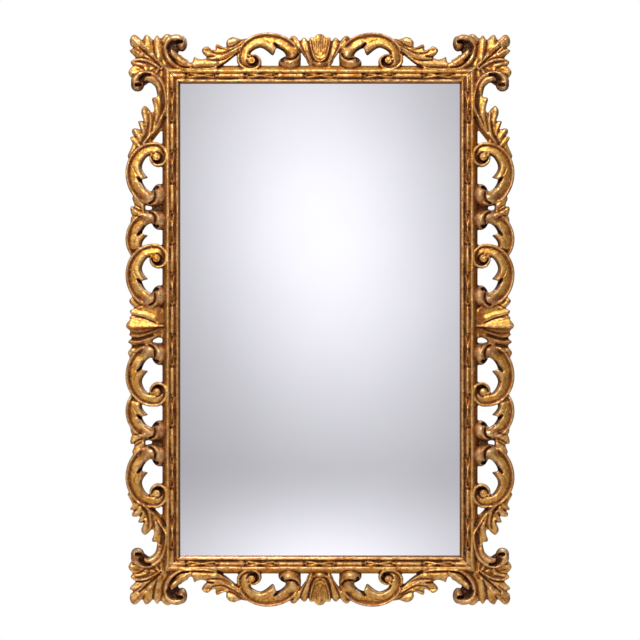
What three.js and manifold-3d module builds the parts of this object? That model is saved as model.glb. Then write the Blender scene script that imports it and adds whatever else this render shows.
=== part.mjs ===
// A carved giltwood wall mirror: four mitred frame rails, each carved from one piece of wood
// with its moulding and its pierced border of scrolls and leaves, a mirror glass in a rebate,
// a thin backing board over the back, and two steel keyhole plates that it hangs by.
//
// Millimetres. +Z is up, +X is to the right of someone looking at the glass, and the front
// faces -Y. The wall plane is y = 0 and the origin is the middle of the board's rear face.
// "Depth" below is always the distance in front of the wall plane, so y = -depth.

import * as THREE from "three";
import { mergeVertices } from "three/addons/utils/BufferGeometryUtils.js";
import Module from "manifold-3d";

const wasm = await Module();
wasm.setup();

// Driving sizes of the frame and the glass
const SIGHT_WIDTH = 504;            // clear glass between the stiles
const SIGHT_HEIGHT = 851;           // clear glass between the rails
const MOULDING_WIDTH = 32;          // from the sight edge to the start of the carved border
const SIDE_REACH = 67;              // carved border beyond the moulding, at the sides
const TOP_REACH = 60;               // the same, at the top and the bottom
const REBATE = 6;                   // how far the glass sits behind the sight edge
const GLASS_THICKNESS = 4.4;
const GAP = 0.3;                    // between pieces that touch
const BOARD_THICKNESS = 4;
const BOARD_LAP = 9;                // the board's overlap on the rails, past the glass

// Depths in front of the wall plane
const FRAME_BACK = BOARD_THICKNESS + GAP;
const LIP_BACK = FRAME_BACK + GLASS_THICKNESS + GAP;

// Heights in front of the frame's back
const LIP_THICKNESS = 3.5;
const MOULDING_DEPTH = 24;          // top of the outer fillet
const CHANNEL_FLOOR = 14;           // bottom of the channel that the bead lies in
const ASTRAGAL_DEPTH = 20.5;        // top of the small round next to the glass
const SIDE_BAND_DEPTH = 12;         // where the moulding's sloping side starts
const CARVING_DEPTH = 24;           // rims of the scrolls
const KNOB_DEPTH = 31;              // top of the rolled knobs
const PROUD = 2;                    // shells and corner leaves above the scrolls
const LOBE_DROP = 2;                // leaf lobes below the scrolls
const SPRIG_DROP = 4;               // sprigs below the scrolls
const TUCK_DROP = 6;                // a leaf scroll's start, where it passes under a shoulder

// The moulding's section, from the sight edge
const ASTRAGAL_AT = 4.8;
const ASTRAGAL_HALF_WIDTH = 2;
const CHANNEL_AT = 7.4;
const FILLET_WIDTH = 4;
const FILLET_INSET = 8.6;           // from the moulding's outer edge

// Ribbon-and-stick bead on the moulding
const BEAD_AT = 14;                 // its middle, from the sight edge
const BEAD_HALF_WIDTH = 4.6;
const BEAD_BASE = 15;
const BEAD_HEIGHT = 7;
const BEAD_SINK = 2;                // its foot in the channel's floor
const BEAD_PERIOD = 105;            // one stick and one ribbon
const STICK_LENGTH = 50;

// The carved border is a free design. Along each side its places and lengths are shares of
// half the moulding's length there, measured from the middle of the shell.
const SIDE_BORDER = {
  shell: 0.214,
  nearScroll: { at: 0.068, length: 0.251 },
  shortScroll: { at: 0.232, length: 0.223 },
  sprig: { at: 0.418, length: 0.092 },
  farScroll: { at: 0.468, length: 0.251 },
  leafScrollAt: 0.66,
};
const TOP_BORDER = {
  shell: 0.342,
  scroll: { at: 0.12, length: 0.405 },
  leafScrollAt: 0.43,
};
const SHELL_DROP = 10;              // the side shells sit this far below the frame's middle
const SHELL_FOOT = 36;              // a shell's width where it meets the moulding
const SHELL_INSET = 4;              // from the border's outer edge
const LEAF_KNOB_RADIUS = 13;        // rolled ends of the leaf scrolls
const LEAF_SCROLL_INSET = 5;        // from its end to the moulding's corner
const CORNER_LEAF_LENGTH = 84;      // along the mitre
const CORNER_LEAF_FOOT = 12;        // its width at the moulding
const FOOT_TUCK = 5;                // how far a shell or a corner leaf starts inside the moulding

// Fixings
const BOARD_SCREW_HEAD = 3.6;       // radius
const SCREW_SHANK = 1.5;            // radius
const SCREW_TAPER = 0.7;            // height of a countersunk head over its radius
const BOARD_SCREW_LENGTH = 14;
const BOARD_SCREW_INSET = 4.5;      // from the board's edge
const SIDE_SCREWS = 3;
const SIDE_SCREW_SPREAD = 0.8;      // share of the board's half height
const HANGER_WIDTH = 15;
const HANGER_LENGTH = 56;
const HANGER_THICKNESS = 1.8;
const HANGER_HEIGHT = 255;          // above the frame's middle
const KEYHOLE_RADIUS = 4.2;
const KEYHOLE_SLOT = 4.4;
const KEYHOLE_DROP = 4;             // the round hole below the plate's middle
const KEYHOLE_RISE = 6;             // the slot's end above it
const KEYHOLE_POCKET = 9;           // hollow behind it, for the wall screw's head
const HANGER_SCREW_HEAD = 3;
const HANGER_SCREW_LENGTH = 12;
const HANGER_HEAD_PROUD = 0.2;

// Worked out from the above
const sightHalf = new THREE.Vector2(SIGHT_WIDTH / 2, SIGHT_HEIGHT / 2);
const mouldingHalf = sightHalf.clone().addScalar(MOULDING_WIDTH);
const glassHalf = sightHalf.clone().addScalar(REBATE - GAP);
const boardHalf = sightHalf.clone().addScalar(REBATE + BOARD_LAP);
const hangerX = (boardHalf.x + mouldingHalf.x) / 2;

const giltMaterial = new THREE.MeshStandardMaterial({
  color: 0xc08a35, roughness: 0.45, metalness: 0.6, flatShading: true });
const mirrorMaterial = new THREE.MeshStandardMaterial({
  color: 0xd4d5d9, roughness: 0.03, metalness: 1, flatShading: true });
const boardMaterial = new THREE.MeshStandardMaterial({
  color: 0x8a6a48, roughness: 0.8, metalness: 0, flatShading: true });
const steelMaterial = new THREE.MeshStandardMaterial({
  color: 0x9a958a, roughness: 0.4, metalness: 0.9, flatShading: true });

// Solids and meshes

function solidOf(geometry) {
  const bare = geometry.clone();
  for (const name of Object.keys(bare.attributes)) {
    if (name !== "position") bare.deleteAttribute(name);
  }
  const merged = mergeVertices(bare, 1e-4);
  const corners = merged.index.array;
  const points = merged.attributes.position;
  const [a, b, c] = [new THREE.Vector3(), new THREE.Vector3(), new THREE.Vector3()];
  let volume = 0;
  const faces = [];
  for (let i = 0; i < corners.length; i += 3) {
    const face = [corners[i], corners[i + 1], corners[i + 2]];
    if (new Set(face).size < 3) continue;
    a.fromBufferAttribute(points, face[0]);
    b.fromBufferAttribute(points, face[1]);
    c.fromBufferAttribute(points, face[2]);
    volume += a.dot(b.cross(c));
    faces.push(face);
  }
  const outward = volume > 0 ? faces : faces.map(([p, q, r]) => [p, r, q]);
  return new wasm.Manifold(new wasm.Mesh({
    numProp: 3,
    vertProperties: new Float32Array(points.array),
    triVerts: new Uint32Array(outward.flat()),
  }));
}

function geometryOf(solid) {
  const mesh = solid.getMesh();
  const geometry = new THREE.BufferGeometry();
  geometry.setAttribute("position", new THREE.BufferAttribute(Float32Array.from(mesh.vertProperties), 3));
  geometry.setIndex([...mesh.triVerts]);
  return geometry;
}

function joined(solids) {
  return solids.reduce((whole, solid) => whole.add(solid));
}

function without(solid, cutters) {
  return cutters.reduce((rest, cutter) => rest.subtract(cutter), solid);
}

// A closed body through a row of rings that have the same number of points. The two ends are
// filled with the triangles of the flat outline that the rings were made from.
function loft(rings, outline) {
  const count = outline.length;
  const index = [];
  for (let ring = 0; ring + 1 < rings.length; ring++) {
    for (let i = 0; i < count; i++) {
      const next = (i + 1) % count;
      const [a, b] = [ring * count + i, ring * count + next];
      index.push(a, b, b + count, a, b + count, a + count);
    }
  }
  // The flat triangles come out the same way round whichever way the outline runs
  const clockwise = THREE.ShapeUtils.area(outline) < 0;
  const last = (rings.length - 1) * count;
  for (const [p, q, r] of THREE.ShapeUtils.triangulateShape(outline, [])) {
    const [a, b, c] = clockwise ? [q, p, r] : [p, q, r];
    index.push(c, b, a, last + a, last + b, last + c);
  }
  const geometry = new THREE.BufferGeometry();
  const positions = rings.flat().flatMap((point) => point.toArray());
  geometry.setAttribute("position", new THREE.Float32BufferAttribute(positions, 3));
  geometry.setIndex(index);
  return geometry;
}

// Runs: the plan coordinates of a stretch of border. "out" is the distance from the
// moulding's outer edge and "along" is the distance from the run's start.

class Run {
  constructor(start, along, out) {
    Object.assign(this, { start, along, out });
  }

  // The point at a plan place and a height above the frame's back
  point(out, along, height) {
    const x = this.start.x + this.out.x * out + this.along.x * along;
    const z = this.start.y + this.out.y * out + this.along.y * along;
    return new THREE.Vector3(x, -(FRAME_BACK + height), z);
  }

  // A run that starts further on, and may run back the other way
  from(along, direction = 1) {
    const start = this.start.clone().addScaledVector(this.along, along);
    return new Run(start, this.along.clone().multiplyScalar(direction), this.out);
  }
}

// A flat-backed band between an outer and an inner edge. Each station gives the two plan
// points and a height, and the outline gives shares of the way across and of the height.
function band(run, stations, outline) {
  const rings = stations.map(({ outer, inner, height }) => outline.map(({ x, y }) => {
    const across = outer.clone().lerp(inner, x);
    return run.point(across.x, across.y, y * height);
  }));
  return solidOf(loft(rings, outline));
}

const points = (...pairs) => pairs.map(([x, y]) => new THREE.Vector2(x, y));

// Across a scroll or a leaf's stem: a raised outer rim, a broad channel, and the inner edge
const SCROLL_OUTLINE = points([0, 0], [0, 1], [0.25, 0.76], [1, 0.84], [1, 0]);

const degrees = THREE.MathUtils.degToRad;

// C-scroll, drawn at its own size and then stretched to its length and reach: a flat volute
// at the start and a rolled knob at the end, with a thorn on the inner edge.
const SCROLL = {
  length: 114, reach: 64.5,
  centre: [16, 54], outer: [48.5, 55], inner: [21.5, 33.5],
  eye: [9.9, 25.7], eyeRadius: 7, coreRadius: 5, voluteStart: 27, voluteEnd: 11,
  thornLength: 10,
  knob: [4.6, 92.6], knobSize: [13.2, 21],
};

function scrollPlan(length, reach) {
  const grow = new THREE.Vector2(reach / SCROLL.reach, length / SCROLL.length);
  return (x, y) => new THREE.Vector2(x, y).multiply(grow);
}

// The volute turns three quarters round its eye, then the body follows half an ellipse
const VOLUTE_TURN = 270;
const VOLUTE_STEP = 54;
const BODY_ANGLES = [-90, -64, -40, -17, 8, 12, 40, 70, 102];
const THORN_ANGLE = 8;

function voluteStations(plan) {
  const stations = [];
  for (let turn = VOLUTE_TURN; turn > 0; turn -= VOLUTE_STEP) {
    const angle = degrees(-90 - turn);
    const rim = THREE.MathUtils.lerp(SCROLL.voluteStart, SCROLL.voluteEnd, turn / VOLUTE_TURN);
    const at = (radius) => plan(
      SCROLL.eye[0] + radius * Math.cos(angle),
      SCROLL.eye[1] + radius * Math.sin(angle));
    stations.push({ outer: at(rim), inner: at(SCROLL.coreRadius), height: CARVING_DEPTH });
  }
  return stations;
}

function bodyStations(plan, firstAngle) {
  return BODY_ANGLES.filter((angle) => angle >= firstAngle).map((angle) => {
    const edge = ([a, b], inset) => plan(
      SCROLL.centre[0] + (a - inset) * Math.cos(degrees(angle)),
      SCROLL.centre[1] + b * Math.sin(degrees(angle)));
    const thorn = angle === THORN_ANGLE ? SCROLL.thornLength : 0;
    return { outer: edge(SCROLL.outer, 0), inner: edge(SCROLL.inner, thorn), height: CARVING_DEPTH };
  });
}

// The front half of an egg, down to the frame's back
const KNOB_SIDES = 8;
const KNOB_RINGS = 4;

function knob(run, centre, halfSize) {
  const geometry = new THREE.SphereGeometry(1, KNOB_SIDES, KNOB_RINGS);
  const position = geometry.attributes.position;
  for (let i = 0; i < position.count; i++) {
    const out = centre.x + halfSize.x * position.getX(i);
    const along = centre.y + halfSize.y * position.getZ(i);
    position.setXYZ(i, ...run.point(out, along, KNOB_DEPTH * position.getY(i)).toArray());
  }
  return solidOf(geometry);
}

// The round button in the middle of a volute
const BUTTON_SIDES = 7;
const BUTTON_TAPER = 0.6;

function button(run, centre, radius) {
  const height = CARVING_DEPTH + PROUD / 2;
  const geometry = new THREE.CylinderGeometry(radius * BUTTON_TAPER, radius, height, BUTTON_SIDES);
  const middle = run.point(centre.x, centre.y, height / 2);
  geometry.rotateX(Math.PI / 2);
  geometry.translate(middle.x, middle.y, middle.z);
  return solidOf(geometry);
}

function scrollKnob(run, plan) {
  return knob(run, plan(...SCROLL.knob), plan(...SCROLL.knobSize));
}

function cScroll(run, length, reach) {
  const plan = scrollPlan(length, reach);
  const stations = [...voluteStations(plan), ...bodyStations(plan, BODY_ANGLES[0])];
  return [
    band(run, stations, SCROLL_OUTLINE),
    button(run, plan(...SCROLL.eye), SCROLL.eyeRadius),
    scrollKnob(run, plan),
  ];
}

// The same without its volute: that end is tucked under its neighbour's shoulder
function shortScroll(run, length, reach) {
  const plan = scrollPlan(length, reach);
  return [band(run, bodyStations(plan, BODY_ANGLES[2]), SCROLL_OUTLINE), scrollKnob(run, plan)];
}

// A pointed lobe with a ridge down its middle, from one plan place to another
const LOBE_OUTLINE = points([0, 0], [0, 0.72], [0.5, 1], [1, 0.72], [1, 0]);

function lobe(run, from, to, width, height, bow = 0) {
  const way = to.clone().sub(from);
  const side = new THREE.Vector2(-way.y, way.x).normalize();
  const shares = [[0, 0.62, 1], [0.5, 1, 1], [1, 0.1, 0.84]];
  const stations = shares.map(([share, broad, tall]) => {
    const middle = from.clone().addScaledVector(way, share);
    middle.addScaledVector(side, bow * Math.sin(Math.PI * share));
    return {
      outer: middle.clone().addScaledVector(side, width * broad / 2),
      inner: middle.clone().addScaledVector(side, -width * broad / 2),
      height: height * tall,
    };
  });
  return band(run, stations, LOBE_OUTLINE);
}

// A ribbed fan: ridges and grooves spread from a narrow foot to a scalloped edge
const FAN_OUTLINE = points([0, 1], [1, 1], [1, 0], [0, 0]);
const FAN_GROOVE = 0.8;             // a groove's height over a ridge's
const FAN_TIP = 0.78;               // a tip's height over the foot's

function fan(run, { at, axis, spread, lobes, reach, footWidth, notch }) {
  const side = new THREE.Vector2(-axis.y, axis.x);
  const rings = [];
  for (let i = 0; i <= 2 * lobes; i++) {
    const share = i / lobes - 1;
    const angle = share * spread;
    const ridge = i % 2 === 1;
    const direction = axis.clone().multiplyScalar(Math.cos(angle)).addScaledVector(side, Math.sin(angle));
    const foot = at.clone().addScaledVector(side, share * footWidth / 2);
    const tip = foot.clone().addScaledVector(direction, reach(angle) * (ridge ? 1 : notch));
    const crown = (CARVING_DEPTH + PROUD) * (ridge ? 1 : FAN_GROOVE);
    rings.push([
      run.point(foot.x, foot.y, crown),
      run.point(tip.x, tip.y, crown * FAN_TIP),
      run.point(tip.x, tip.y, 0),
      run.point(foot.x, foot.y, 0),
    ]);
  }
  return solidOf(loft(rings, FAN_OUTLINE));
}

// A shell of seven ribs whose outer edge runs nearly straight
const SHELL_RIBS = 7;
const SHELL_NOTCH = 0.92;           // how far out the grooves run, over the ribs
const SHELL_FALL = 0.06;            // how much shorter the outermost ribs are

function shell(run, width, reach) {
  const length = reach + FOOT_TUCK;
  const sideways = (width - SHELL_FOOT) / 2 / SHELL_NOTCH / (1 - SHELL_FALL);
  const halfAngle = Math.atan2(sideways, length);
  return fan(run, {
    at: new THREE.Vector2(-FOOT_TUCK, 0), axis: new THREE.Vector2(1, 0), spread: halfAngle,
    lobes: SHELL_RIBS, footWidth: SHELL_FOOT, notch: SHELL_NOTCH,
    reach: (angle) => length / Math.cos(angle) * (1 - SHELL_FALL * Math.abs(angle / halfAngle)),
  });
}

// The band that leaves a scroll's shoulder, sweeps along the moulding and curls out into a
// knob at the corner, with leaf lobes thrown off towards the corner.
const LEAF = {
  spine: points([0.74, 0.06], [0.49, 0.18], [0.25, 0.33], [0.09, 0.49], [0.03, 0.66],
    [0.07, 0.81], [0.23, 0.93], [0.47, 0.96], [0.68, 0.91]),
  widths: [20, 24, 24, 22, 17, 14, 13, 12, 10],
  knob: [0.67, 0.83],
  lobeBow: 2,
  lobes: [
    { from: [0.7, 0.04], to: [0.88, 0.22], width: 22 },
    { from: [0.56, 0.11], to: [0.77, 0.32], width: 19 },
    { from: [0.42, 0.2], to: [0.65, 0.43], width: 20 },
    { from: [0.24, 0.34], to: [0.5, 0.6], width: 22 },
    { from: [0.1, 0.5], to: [0.27, 0.69], width: 16 },
  ],
};

const LEAF_STEPS = 9;

function leafScroll(run, length, reach) {
  const at = (pair) => new THREE.Vector2(...pair).multiply(new THREE.Vector2(reach, length));
  const spine = new THREE.SplineCurve(LEAF.spine.map((point) => at(point.toArray())));
  const stations = [];
  for (let step = 0; step <= LEAF_STEPS; step++) {
    const share = step / LEAF_STEPS;
    const middle = spine.getPoint(share);
    const heading = spine.getTangent(share);
    const side = new THREE.Vector2(-heading.y, heading.x);
    const place = share * (LEAF.widths.length - 1);
    const before = Math.min(Math.floor(place), LEAF.widths.length - 2);
    const width = THREE.MathUtils.lerp(LEAF.widths[before], LEAF.widths[before + 1], place - before);
    stations.push({
      outer: middle.clone().addScaledVector(side, width / 2),
      inner: middle.clone().addScaledVector(side, -width / 2),
      height: THREE.MathUtils.lerp(CARVING_DEPTH - TUCK_DROP, CARVING_DEPTH + PROUD, share),
    });
  }
  const lobes = LEAF.lobes.map(({ from, to, width }) => lobe(
    run, at(from), at(to), width, CARVING_DEPTH - LOBE_DROP, LEAF.lobeBow));
  return [
    band(run, stations, SCROLL_OUTLINE),
    knob(run, at(LEAF.knob), new THREE.Vector2(LEAF_KNOB_RADIUS, LEAF_KNOB_RADIUS)),
    ...lobes,
  ];
}

// The sprig between two scrolls: three short lobes that rise from the lower one's shoulder
const SPRIG = { root: [0.46, 0.1], tips: [[0.86, 0.18], [0.84, 0.55], [0.66, 0.95]], width: 17 };

function sprig(run, length, reach) {
  const at = ([out, along]) => new THREE.Vector2(out * reach, along * length);
  return SPRIG.tips.map((tip) => lobe(
    run, at(SPRIG.root), at(tip), SPRIG.width, CARVING_DEPTH - SPRIG_DROP));
}

// The leaf that fills a corner. Its middle rib lies on the mitre, and its edge runs straight
// beside the border's outer edge.
const CORNER_LEAF_LOBES = 7;
const CORNER_LEAF_SPREAD = degrees(52);
const CORNER_LEAF_NOTCH = 0.86;

function cornerLeaf(run, edge) {
  const footReach = CORNER_LEAF_FOOT / 2 * Math.SQRT1_2;
  const toEdge = edge + FOOT_TUCK - footReach;
  return fan(run, {
    at: new THREE.Vector2(-FOOT_TUCK, -FOOT_TUCK), axis: new THREE.Vector2(1, 1).normalize(),
    spread: CORNER_LEAF_SPREAD, lobes: CORNER_LEAF_LOBES,
    footWidth: CORNER_LEAF_FOOT, notch: CORNER_LEAF_NOTCH,
    reach: (angle) => Math.min(toEdge / Math.cos(degrees(45) - Math.abs(angle)), CORNER_LEAF_LENGTH),
  });
}

// The moulding, seen in section from the sight edge outward
const filletOut = MOULDING_WIDTH - FILLET_INSET;
const filletIn = filletOut - FILLET_WIDTH;
const MOULDING_OUTLINE = points(
  [0, LIP_BACK - FRAME_BACK], [REBATE, LIP_BACK - FRAME_BACK], [REBATE, 0],
  [MOULDING_WIDTH, 0], [MOULDING_WIDTH, SIDE_BAND_DEPTH],
  [filletOut + 1.2, MOULDING_DEPTH - 4], [filletOut, MOULDING_DEPTH],
  [filletIn, MOULDING_DEPTH], [filletIn - 0.8, CHANNEL_FLOOR + 2],
  [CHANNEL_AT + 2, CHANNEL_FLOOR], [CHANNEL_AT, CHANNEL_FLOOR],
  [ASTRAGAL_AT + ASTRAGAL_HALF_WIDTH - 0.2, ASTRAGAL_DEPTH - 1.5], [ASTRAGAL_AT, ASTRAGAL_DEPTH],
  [ASTRAGAL_AT - ASTRAGAL_HALF_WIDTH + 0.2, ASTRAGAL_DEPTH - 1.5],
  [ASTRAGAL_AT - ASTRAGAL_HALF_WIDTH - 0.2, CHANNEL_FLOOR],
  [0, LIP_BACK - FRAME_BACK + LIP_THICKNESS]);

// A run's zero is the moulding's outer edge and the section's is the sight edge
function moulding(run, length) {
  const rings = [-length / 2, length / 2].map((along) => MOULDING_OUTLINE.map(
    ({ x, y }) => run.point(x - MOULDING_WIDTH, along, y)));
  return solidOf(loft(rings, MOULDING_OUTLINE));
}

// Rounded sticks with a crossed ribbon between each two, along the whole length. The shape
// gives a place in the period, a width and a height: a stick, then the ribbon's fans and waist.
const BEAD_OUTLINE = points([0, 0], [0.26, 1], [0.74, 1], [1, 0]);
const stickShare = STICK_LENGTH / BEAD_PERIOD;
const BEAD_SHAPE = [
  [0, 1, 1], [stickShare, 1, 1], [stickShare + 0.02, 1, 0.7], [(1 + stickShare) / 2, 0.4, 0.6],
];

function bead(run, length) {
  const periods = Math.round(length / BEAD_PERIOD);
  const period = length / periods;
  const middle = BEAD_AT - MOULDING_WIDTH;
  const rings = [];
  for (let i = 0; i <= periods; i++) {
    for (const [place, broad, tall] of BEAD_SHAPE) {
      const along = (i + place - stickShare / 2) * period - length / 2;
      if (Math.abs(along) > length / 2) continue;
      const half = BEAD_HALF_WIDTH * broad;
      rings.push(BEAD_OUTLINE.map(({ x, y }) => run.point(
        THREE.MathUtils.lerp(middle + half, middle - half, x), along,
        THREE.MathUtils.lerp(BEAD_BASE - BEAD_SINK, BEAD_BASE + BEAD_HEIGHT * tall, y))));
    }
  }
  return solidOf(loft(rings, BEAD_OUTLINE));
}

// Wood is kept only up to the mitres, less half the gap between neighbours, and only in front
// of the frame's back. The shape's x is outward from the frame's middle and its y is along.
function mitreWedge(side) {
  const [base, half] = side ? [sightHalf.x, sightHalf.y] : [sightHalf.y, sightHalf.x];
  const far = 2 * (MOULDING_WIDTH + Math.max(SIDE_REACH, TOP_REACH));
  const near = Math.min(base, half) / 2;
  const trim = GAP / 2 * Math.SQRT2;
  const shape = new THREE.Shape(points(
    [base - near, half - near - trim], [base + far, half + far - trim],
    [base + far, -half - far + trim], [base - near, -half + near + trim]));
  const wedge = new THREE.ExtrudeGeometry(shape, { depth: 2 * KNOB_DEPTH, bevelEnabled: false });
  const outward = side ? new THREE.Vector3(-1, 0, 0) : new THREE.Vector3(0, 0, 1);
  const along = side ? new THREE.Vector3(0, 0, 1) : new THREE.Vector3(1, 0, 0);
  wedge.applyMatrix4(new THREE.Matrix4().makeBasis(outward, along, new THREE.Vector3(0, -1, 0)));
  wedge.translate(0, -FRAME_BACK, 0);
  return solidOf(wedge);
}

const LEFT = new THREE.Vector2(-1, 0);
const RIGHT = new THREE.Vector2(1, 0);
const UP = new THREE.Vector2(0, 1);

// Turned so that its volute comes first on the way out from the shell, or its knob does
function placedScroll(half, make, { at, length }, whole, reach, knobFirst) {
  const start = (knobFirst ? at + length : at) * whole;
  return make(half.from(start, knobFirst ? -1 : 1), length * whole, reach);
}

function leftStile() {
  const middle = new Run(new THREE.Vector2(-mouldingHalf.x, 0), UP, LEFT);
  const shellRun = middle.from(-SHELL_DROP);
  const whole = mouldingHalf.y;
  const { sprig: twig } = SIDE_BORDER;
  const solids = [
    moulding(middle, 2 * (mouldingHalf.y + TOP_REACH)),
    bead(middle, 2 * (sightHalf.y + BEAD_AT)),
    shell(shellRun, SIDE_BORDER.shell * whole, SIDE_REACH - SHELL_INSET),
  ];
  for (const direction of [1, -1]) {
    const half = shellRun.from(0, direction);
    const toCorner = mouldingHalf.y + SHELL_DROP * direction;
    const leafStart = SIDE_BORDER.leafScrollAt * whole;
    solids.push(
      ...placedScroll(half, cScroll, SIDE_BORDER.nearScroll, whole, SIDE_REACH, true),
      ...placedScroll(half, shortScroll, SIDE_BORDER.shortScroll, whole, SIDE_REACH, false),
      ...sprig(half.from(twig.at * whole), twig.length * whole, SIDE_REACH),
      ...placedScroll(half, cScroll, SIDE_BORDER.farScroll, whole, SIDE_REACH, true),
      ...leafScroll(half.from(leafStart), toCorner - LEAF_SCROLL_INSET - leafStart, SIDE_REACH),
      cornerLeaf(half.from(toCorner), SIDE_REACH - SHELL_INSET));
  }
  return joined(solids).intersect(mitreWedge(true));
}

function topRail() {
  const middle = new Run(new THREE.Vector2(0, mouldingHalf.y), RIGHT, UP);
  const whole = mouldingHalf.x;
  const solids = [
    moulding(middle, 2 * (mouldingHalf.x + SIDE_REACH)),
    bead(middle, 2 * (sightHalf.x + BEAD_AT)),
    shell(middle, TOP_BORDER.shell * whole, TOP_REACH - SHELL_INSET / 2),
  ];
  for (const direction of [1, -1]) {
    const half = middle.from(0, direction);
    const leafStart = TOP_BORDER.leafScrollAt * whole;
    solids.push(
      ...placedScroll(half, cScroll, TOP_BORDER.scroll, whole, TOP_REACH, true),
      ...leafScroll(half.from(leafStart), whole - LEAF_SCROLL_INSET - leafStart, TOP_REACH),
      cornerLeaf(half.from(whole), TOP_REACH));
  }
  return joined(solids).intersect(mitreWedge(false));
}

// Fixings on the back

// A screw along Y whose head is flush at the given depth
function screw(place, headDepth, headRadius, length, clearance = 0) {
  const head = headRadius * SCREW_TAPER;
  const profile = points(
    [0, clearance], [headRadius + clearance, clearance],
    [SCREW_SHANK + clearance, -head - clearance], [SCREW_SHANK + clearance, -length - clearance],
    [0, -length - clearance]);
  const geometry = new THREE.LatheGeometry(profile, 6);
  geometry.translate(place.x, -headDepth, place.y);
  return solidOf(geometry);
}

function boardScrewPlaces() {
  const inset = boardHalf.clone().subScalar(BOARD_SCREW_INSET);
  const places = [];
  for (const side of [-1, 1]) {
    for (let i = 0; i < SIDE_SCREWS; i++) {
      const share = 2 * i / (SIDE_SCREWS - 1) - 1;
      places.push(new THREE.Vector2(side * inset.x, share * SIDE_SCREW_SPREAD * inset.y));
    }
    places.push(new THREE.Vector2(0, side * inset.y));
  }
  return places;
}

function hangerPlate(side) {
  const round = HANGER_WIDTH / 2 - GAP;
  const straight = HANGER_LENGTH / 2 - round;
  const outline = new THREE.Shape();
  outline.absarc(0, straight, round, 0, Math.PI, false);
  outline.absarc(0, -straight, round, Math.PI, 2 * Math.PI, false);
  outline.closePath();
  const hole = new THREE.Path();
  const slot = KEYHOLE_SLOT / 2;
  const meet = Math.asin(slot / KEYHOLE_RADIUS);
  hole.absarc(0, -KEYHOLE_DROP, KEYHOLE_RADIUS, Math.PI / 2 + meet, Math.PI / 2 - meet, false);
  hole.absarc(0, KEYHOLE_RISE, slot, 0, Math.PI, false);
  hole.closePath();
  outline.holes.push(hole);
  const plate = new THREE.ExtrudeGeometry(outline, {
    depth: HANGER_THICKNESS, bevelEnabled: false, curveSegments: 3,
  });
  plate.rotateX(Math.PI / 2);
  plate.translate(side * hangerX, -(FRAME_BACK - GAP - HANGER_THICKNESS), HANGER_HEIGHT);
  const screws = hangerScrewPlaces(side).map((place) => hangerScrew(place, GAP));
  return without(solidOf(plate), screws);
}

function hangerScrewPlaces(side) {
  const reach = HANGER_LENGTH / 2 - HANGER_WIDTH / 2;
  return [1, -1].map((end) => new THREE.Vector2(side * hangerX, HANGER_HEIGHT + end * reach));
}

function hangerScrew(place, clearance = 0) {
  const headDepth = FRAME_BACK - GAP - HANGER_THICKNESS - HANGER_HEAD_PROUD;
  return screw(place, headDepth, HANGER_SCREW_HEAD, HANGER_SCREW_LENGTH, clearance);
}

function boardScrew(place, clearance = 0) {
  return screw(place, GAP, BOARD_SCREW_HEAD, BOARD_SCREW_LENGTH, clearance);
}

// Room in the wood behind a keyhole for the wall screw's head to slide up
function keyholePocket(side) {
  const length = KEYHOLE_DROP + KEYHOLE_RISE + 2 * KEYHOLE_RADIUS + 2 * GAP;
  const pocket = new THREE.BoxGeometry(KEYHOLE_RADIUS * 2, KEYHOLE_POCKET * 2, length);
  pocket.translate(side * hangerX, -FRAME_BACK, HANGER_HEIGHT + (KEYHOLE_RISE - KEYHOLE_DROP) / 2);
  return solidOf(pocket);
}

function backingBoard() {
  const board = new THREE.BoxGeometry(2 * boardHalf.x, BOARD_THICKNESS, 2 * boardHalf.y);
  board.translate(0, -BOARD_THICKNESS / 2, 0);
  return without(solidOf(board), boardScrewPlaces().map((place) => boardScrew(place, GAP)));
}

function mirrorGlass() {
  const glass = new THREE.BoxGeometry(2 * glassHalf.x, GLASS_THICKNESS, 2 * glassHalf.y);
  glass.translate(0, -(FRAME_BACK + GLASS_THICKNESS / 2), 0);
  return solidOf(glass);
}

// Assembly

function flipped(solid, x, z) {
  return solidOf(geometryOf(solid).applyMatrix4(new THREE.Matrix4().makeScale(x, 1, z)));
}

const boardScrews = boardScrewPlaces();
const hangerScrews = [-1, 1].flatMap(hangerScrewPlaces);
const holes = [
  ...boardScrews.map((place) => boardScrew(place, GAP)),
  ...hangerScrews.map((place) => hangerScrew(place, GAP)),
  ...[-1, 1].map(keyholePocket),
];

const group = new THREE.Group();
group.name = "wall_mirror";

function addPiece(name, solid, material) {
  const mesh = new THREE.Mesh(geometryOf(solid), material);
  mesh.name = name;
  group.add(mesh);
}

const stile = leftStile();
const rail = topRail();
addPiece("left_stile", without(stile, holes), giltMaterial);
addPiece("right_stile", without(flipped(stile, -1, 1), holes), giltMaterial);
addPiece("top_rail", without(rail, holes), giltMaterial);
addPiece("bottom_rail", without(flipped(rail, 1, -1), holes), giltMaterial);
addPiece("mirror_glass", mirrorGlass(), mirrorMaterial);
addPiece("backing_board", backingBoard(), boardMaterial);
boardScrews.forEach((place, i) => addPiece(`board_screw_${i + 1}`, boardScrew(place), steelMaterial));
addPiece("hanger_plate_left", hangerPlate(-1), steelMaterial);
addPiece("hanger_plate_right", hangerPlate(1), steelMaterial);
hangerScrews.forEach((place, i) => addPiece(`hanger_screw_${i + 1}`, hangerScrew(place), steelMaterial));

export default group;
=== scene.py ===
# %% [markdown]
# A carved giltwood wall mirror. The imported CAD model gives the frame, the glass and the fixings
# in metres. The four gilded rails are the pieces that a viewer looks at, so this lesson carves
# them again with all their relief, one piece for each rail, and lets each stand for its CAD node.
# The glass, the board, the plates and the screws keep their CAD shape and get real finishes.

# %% Load the frame
import math

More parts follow.
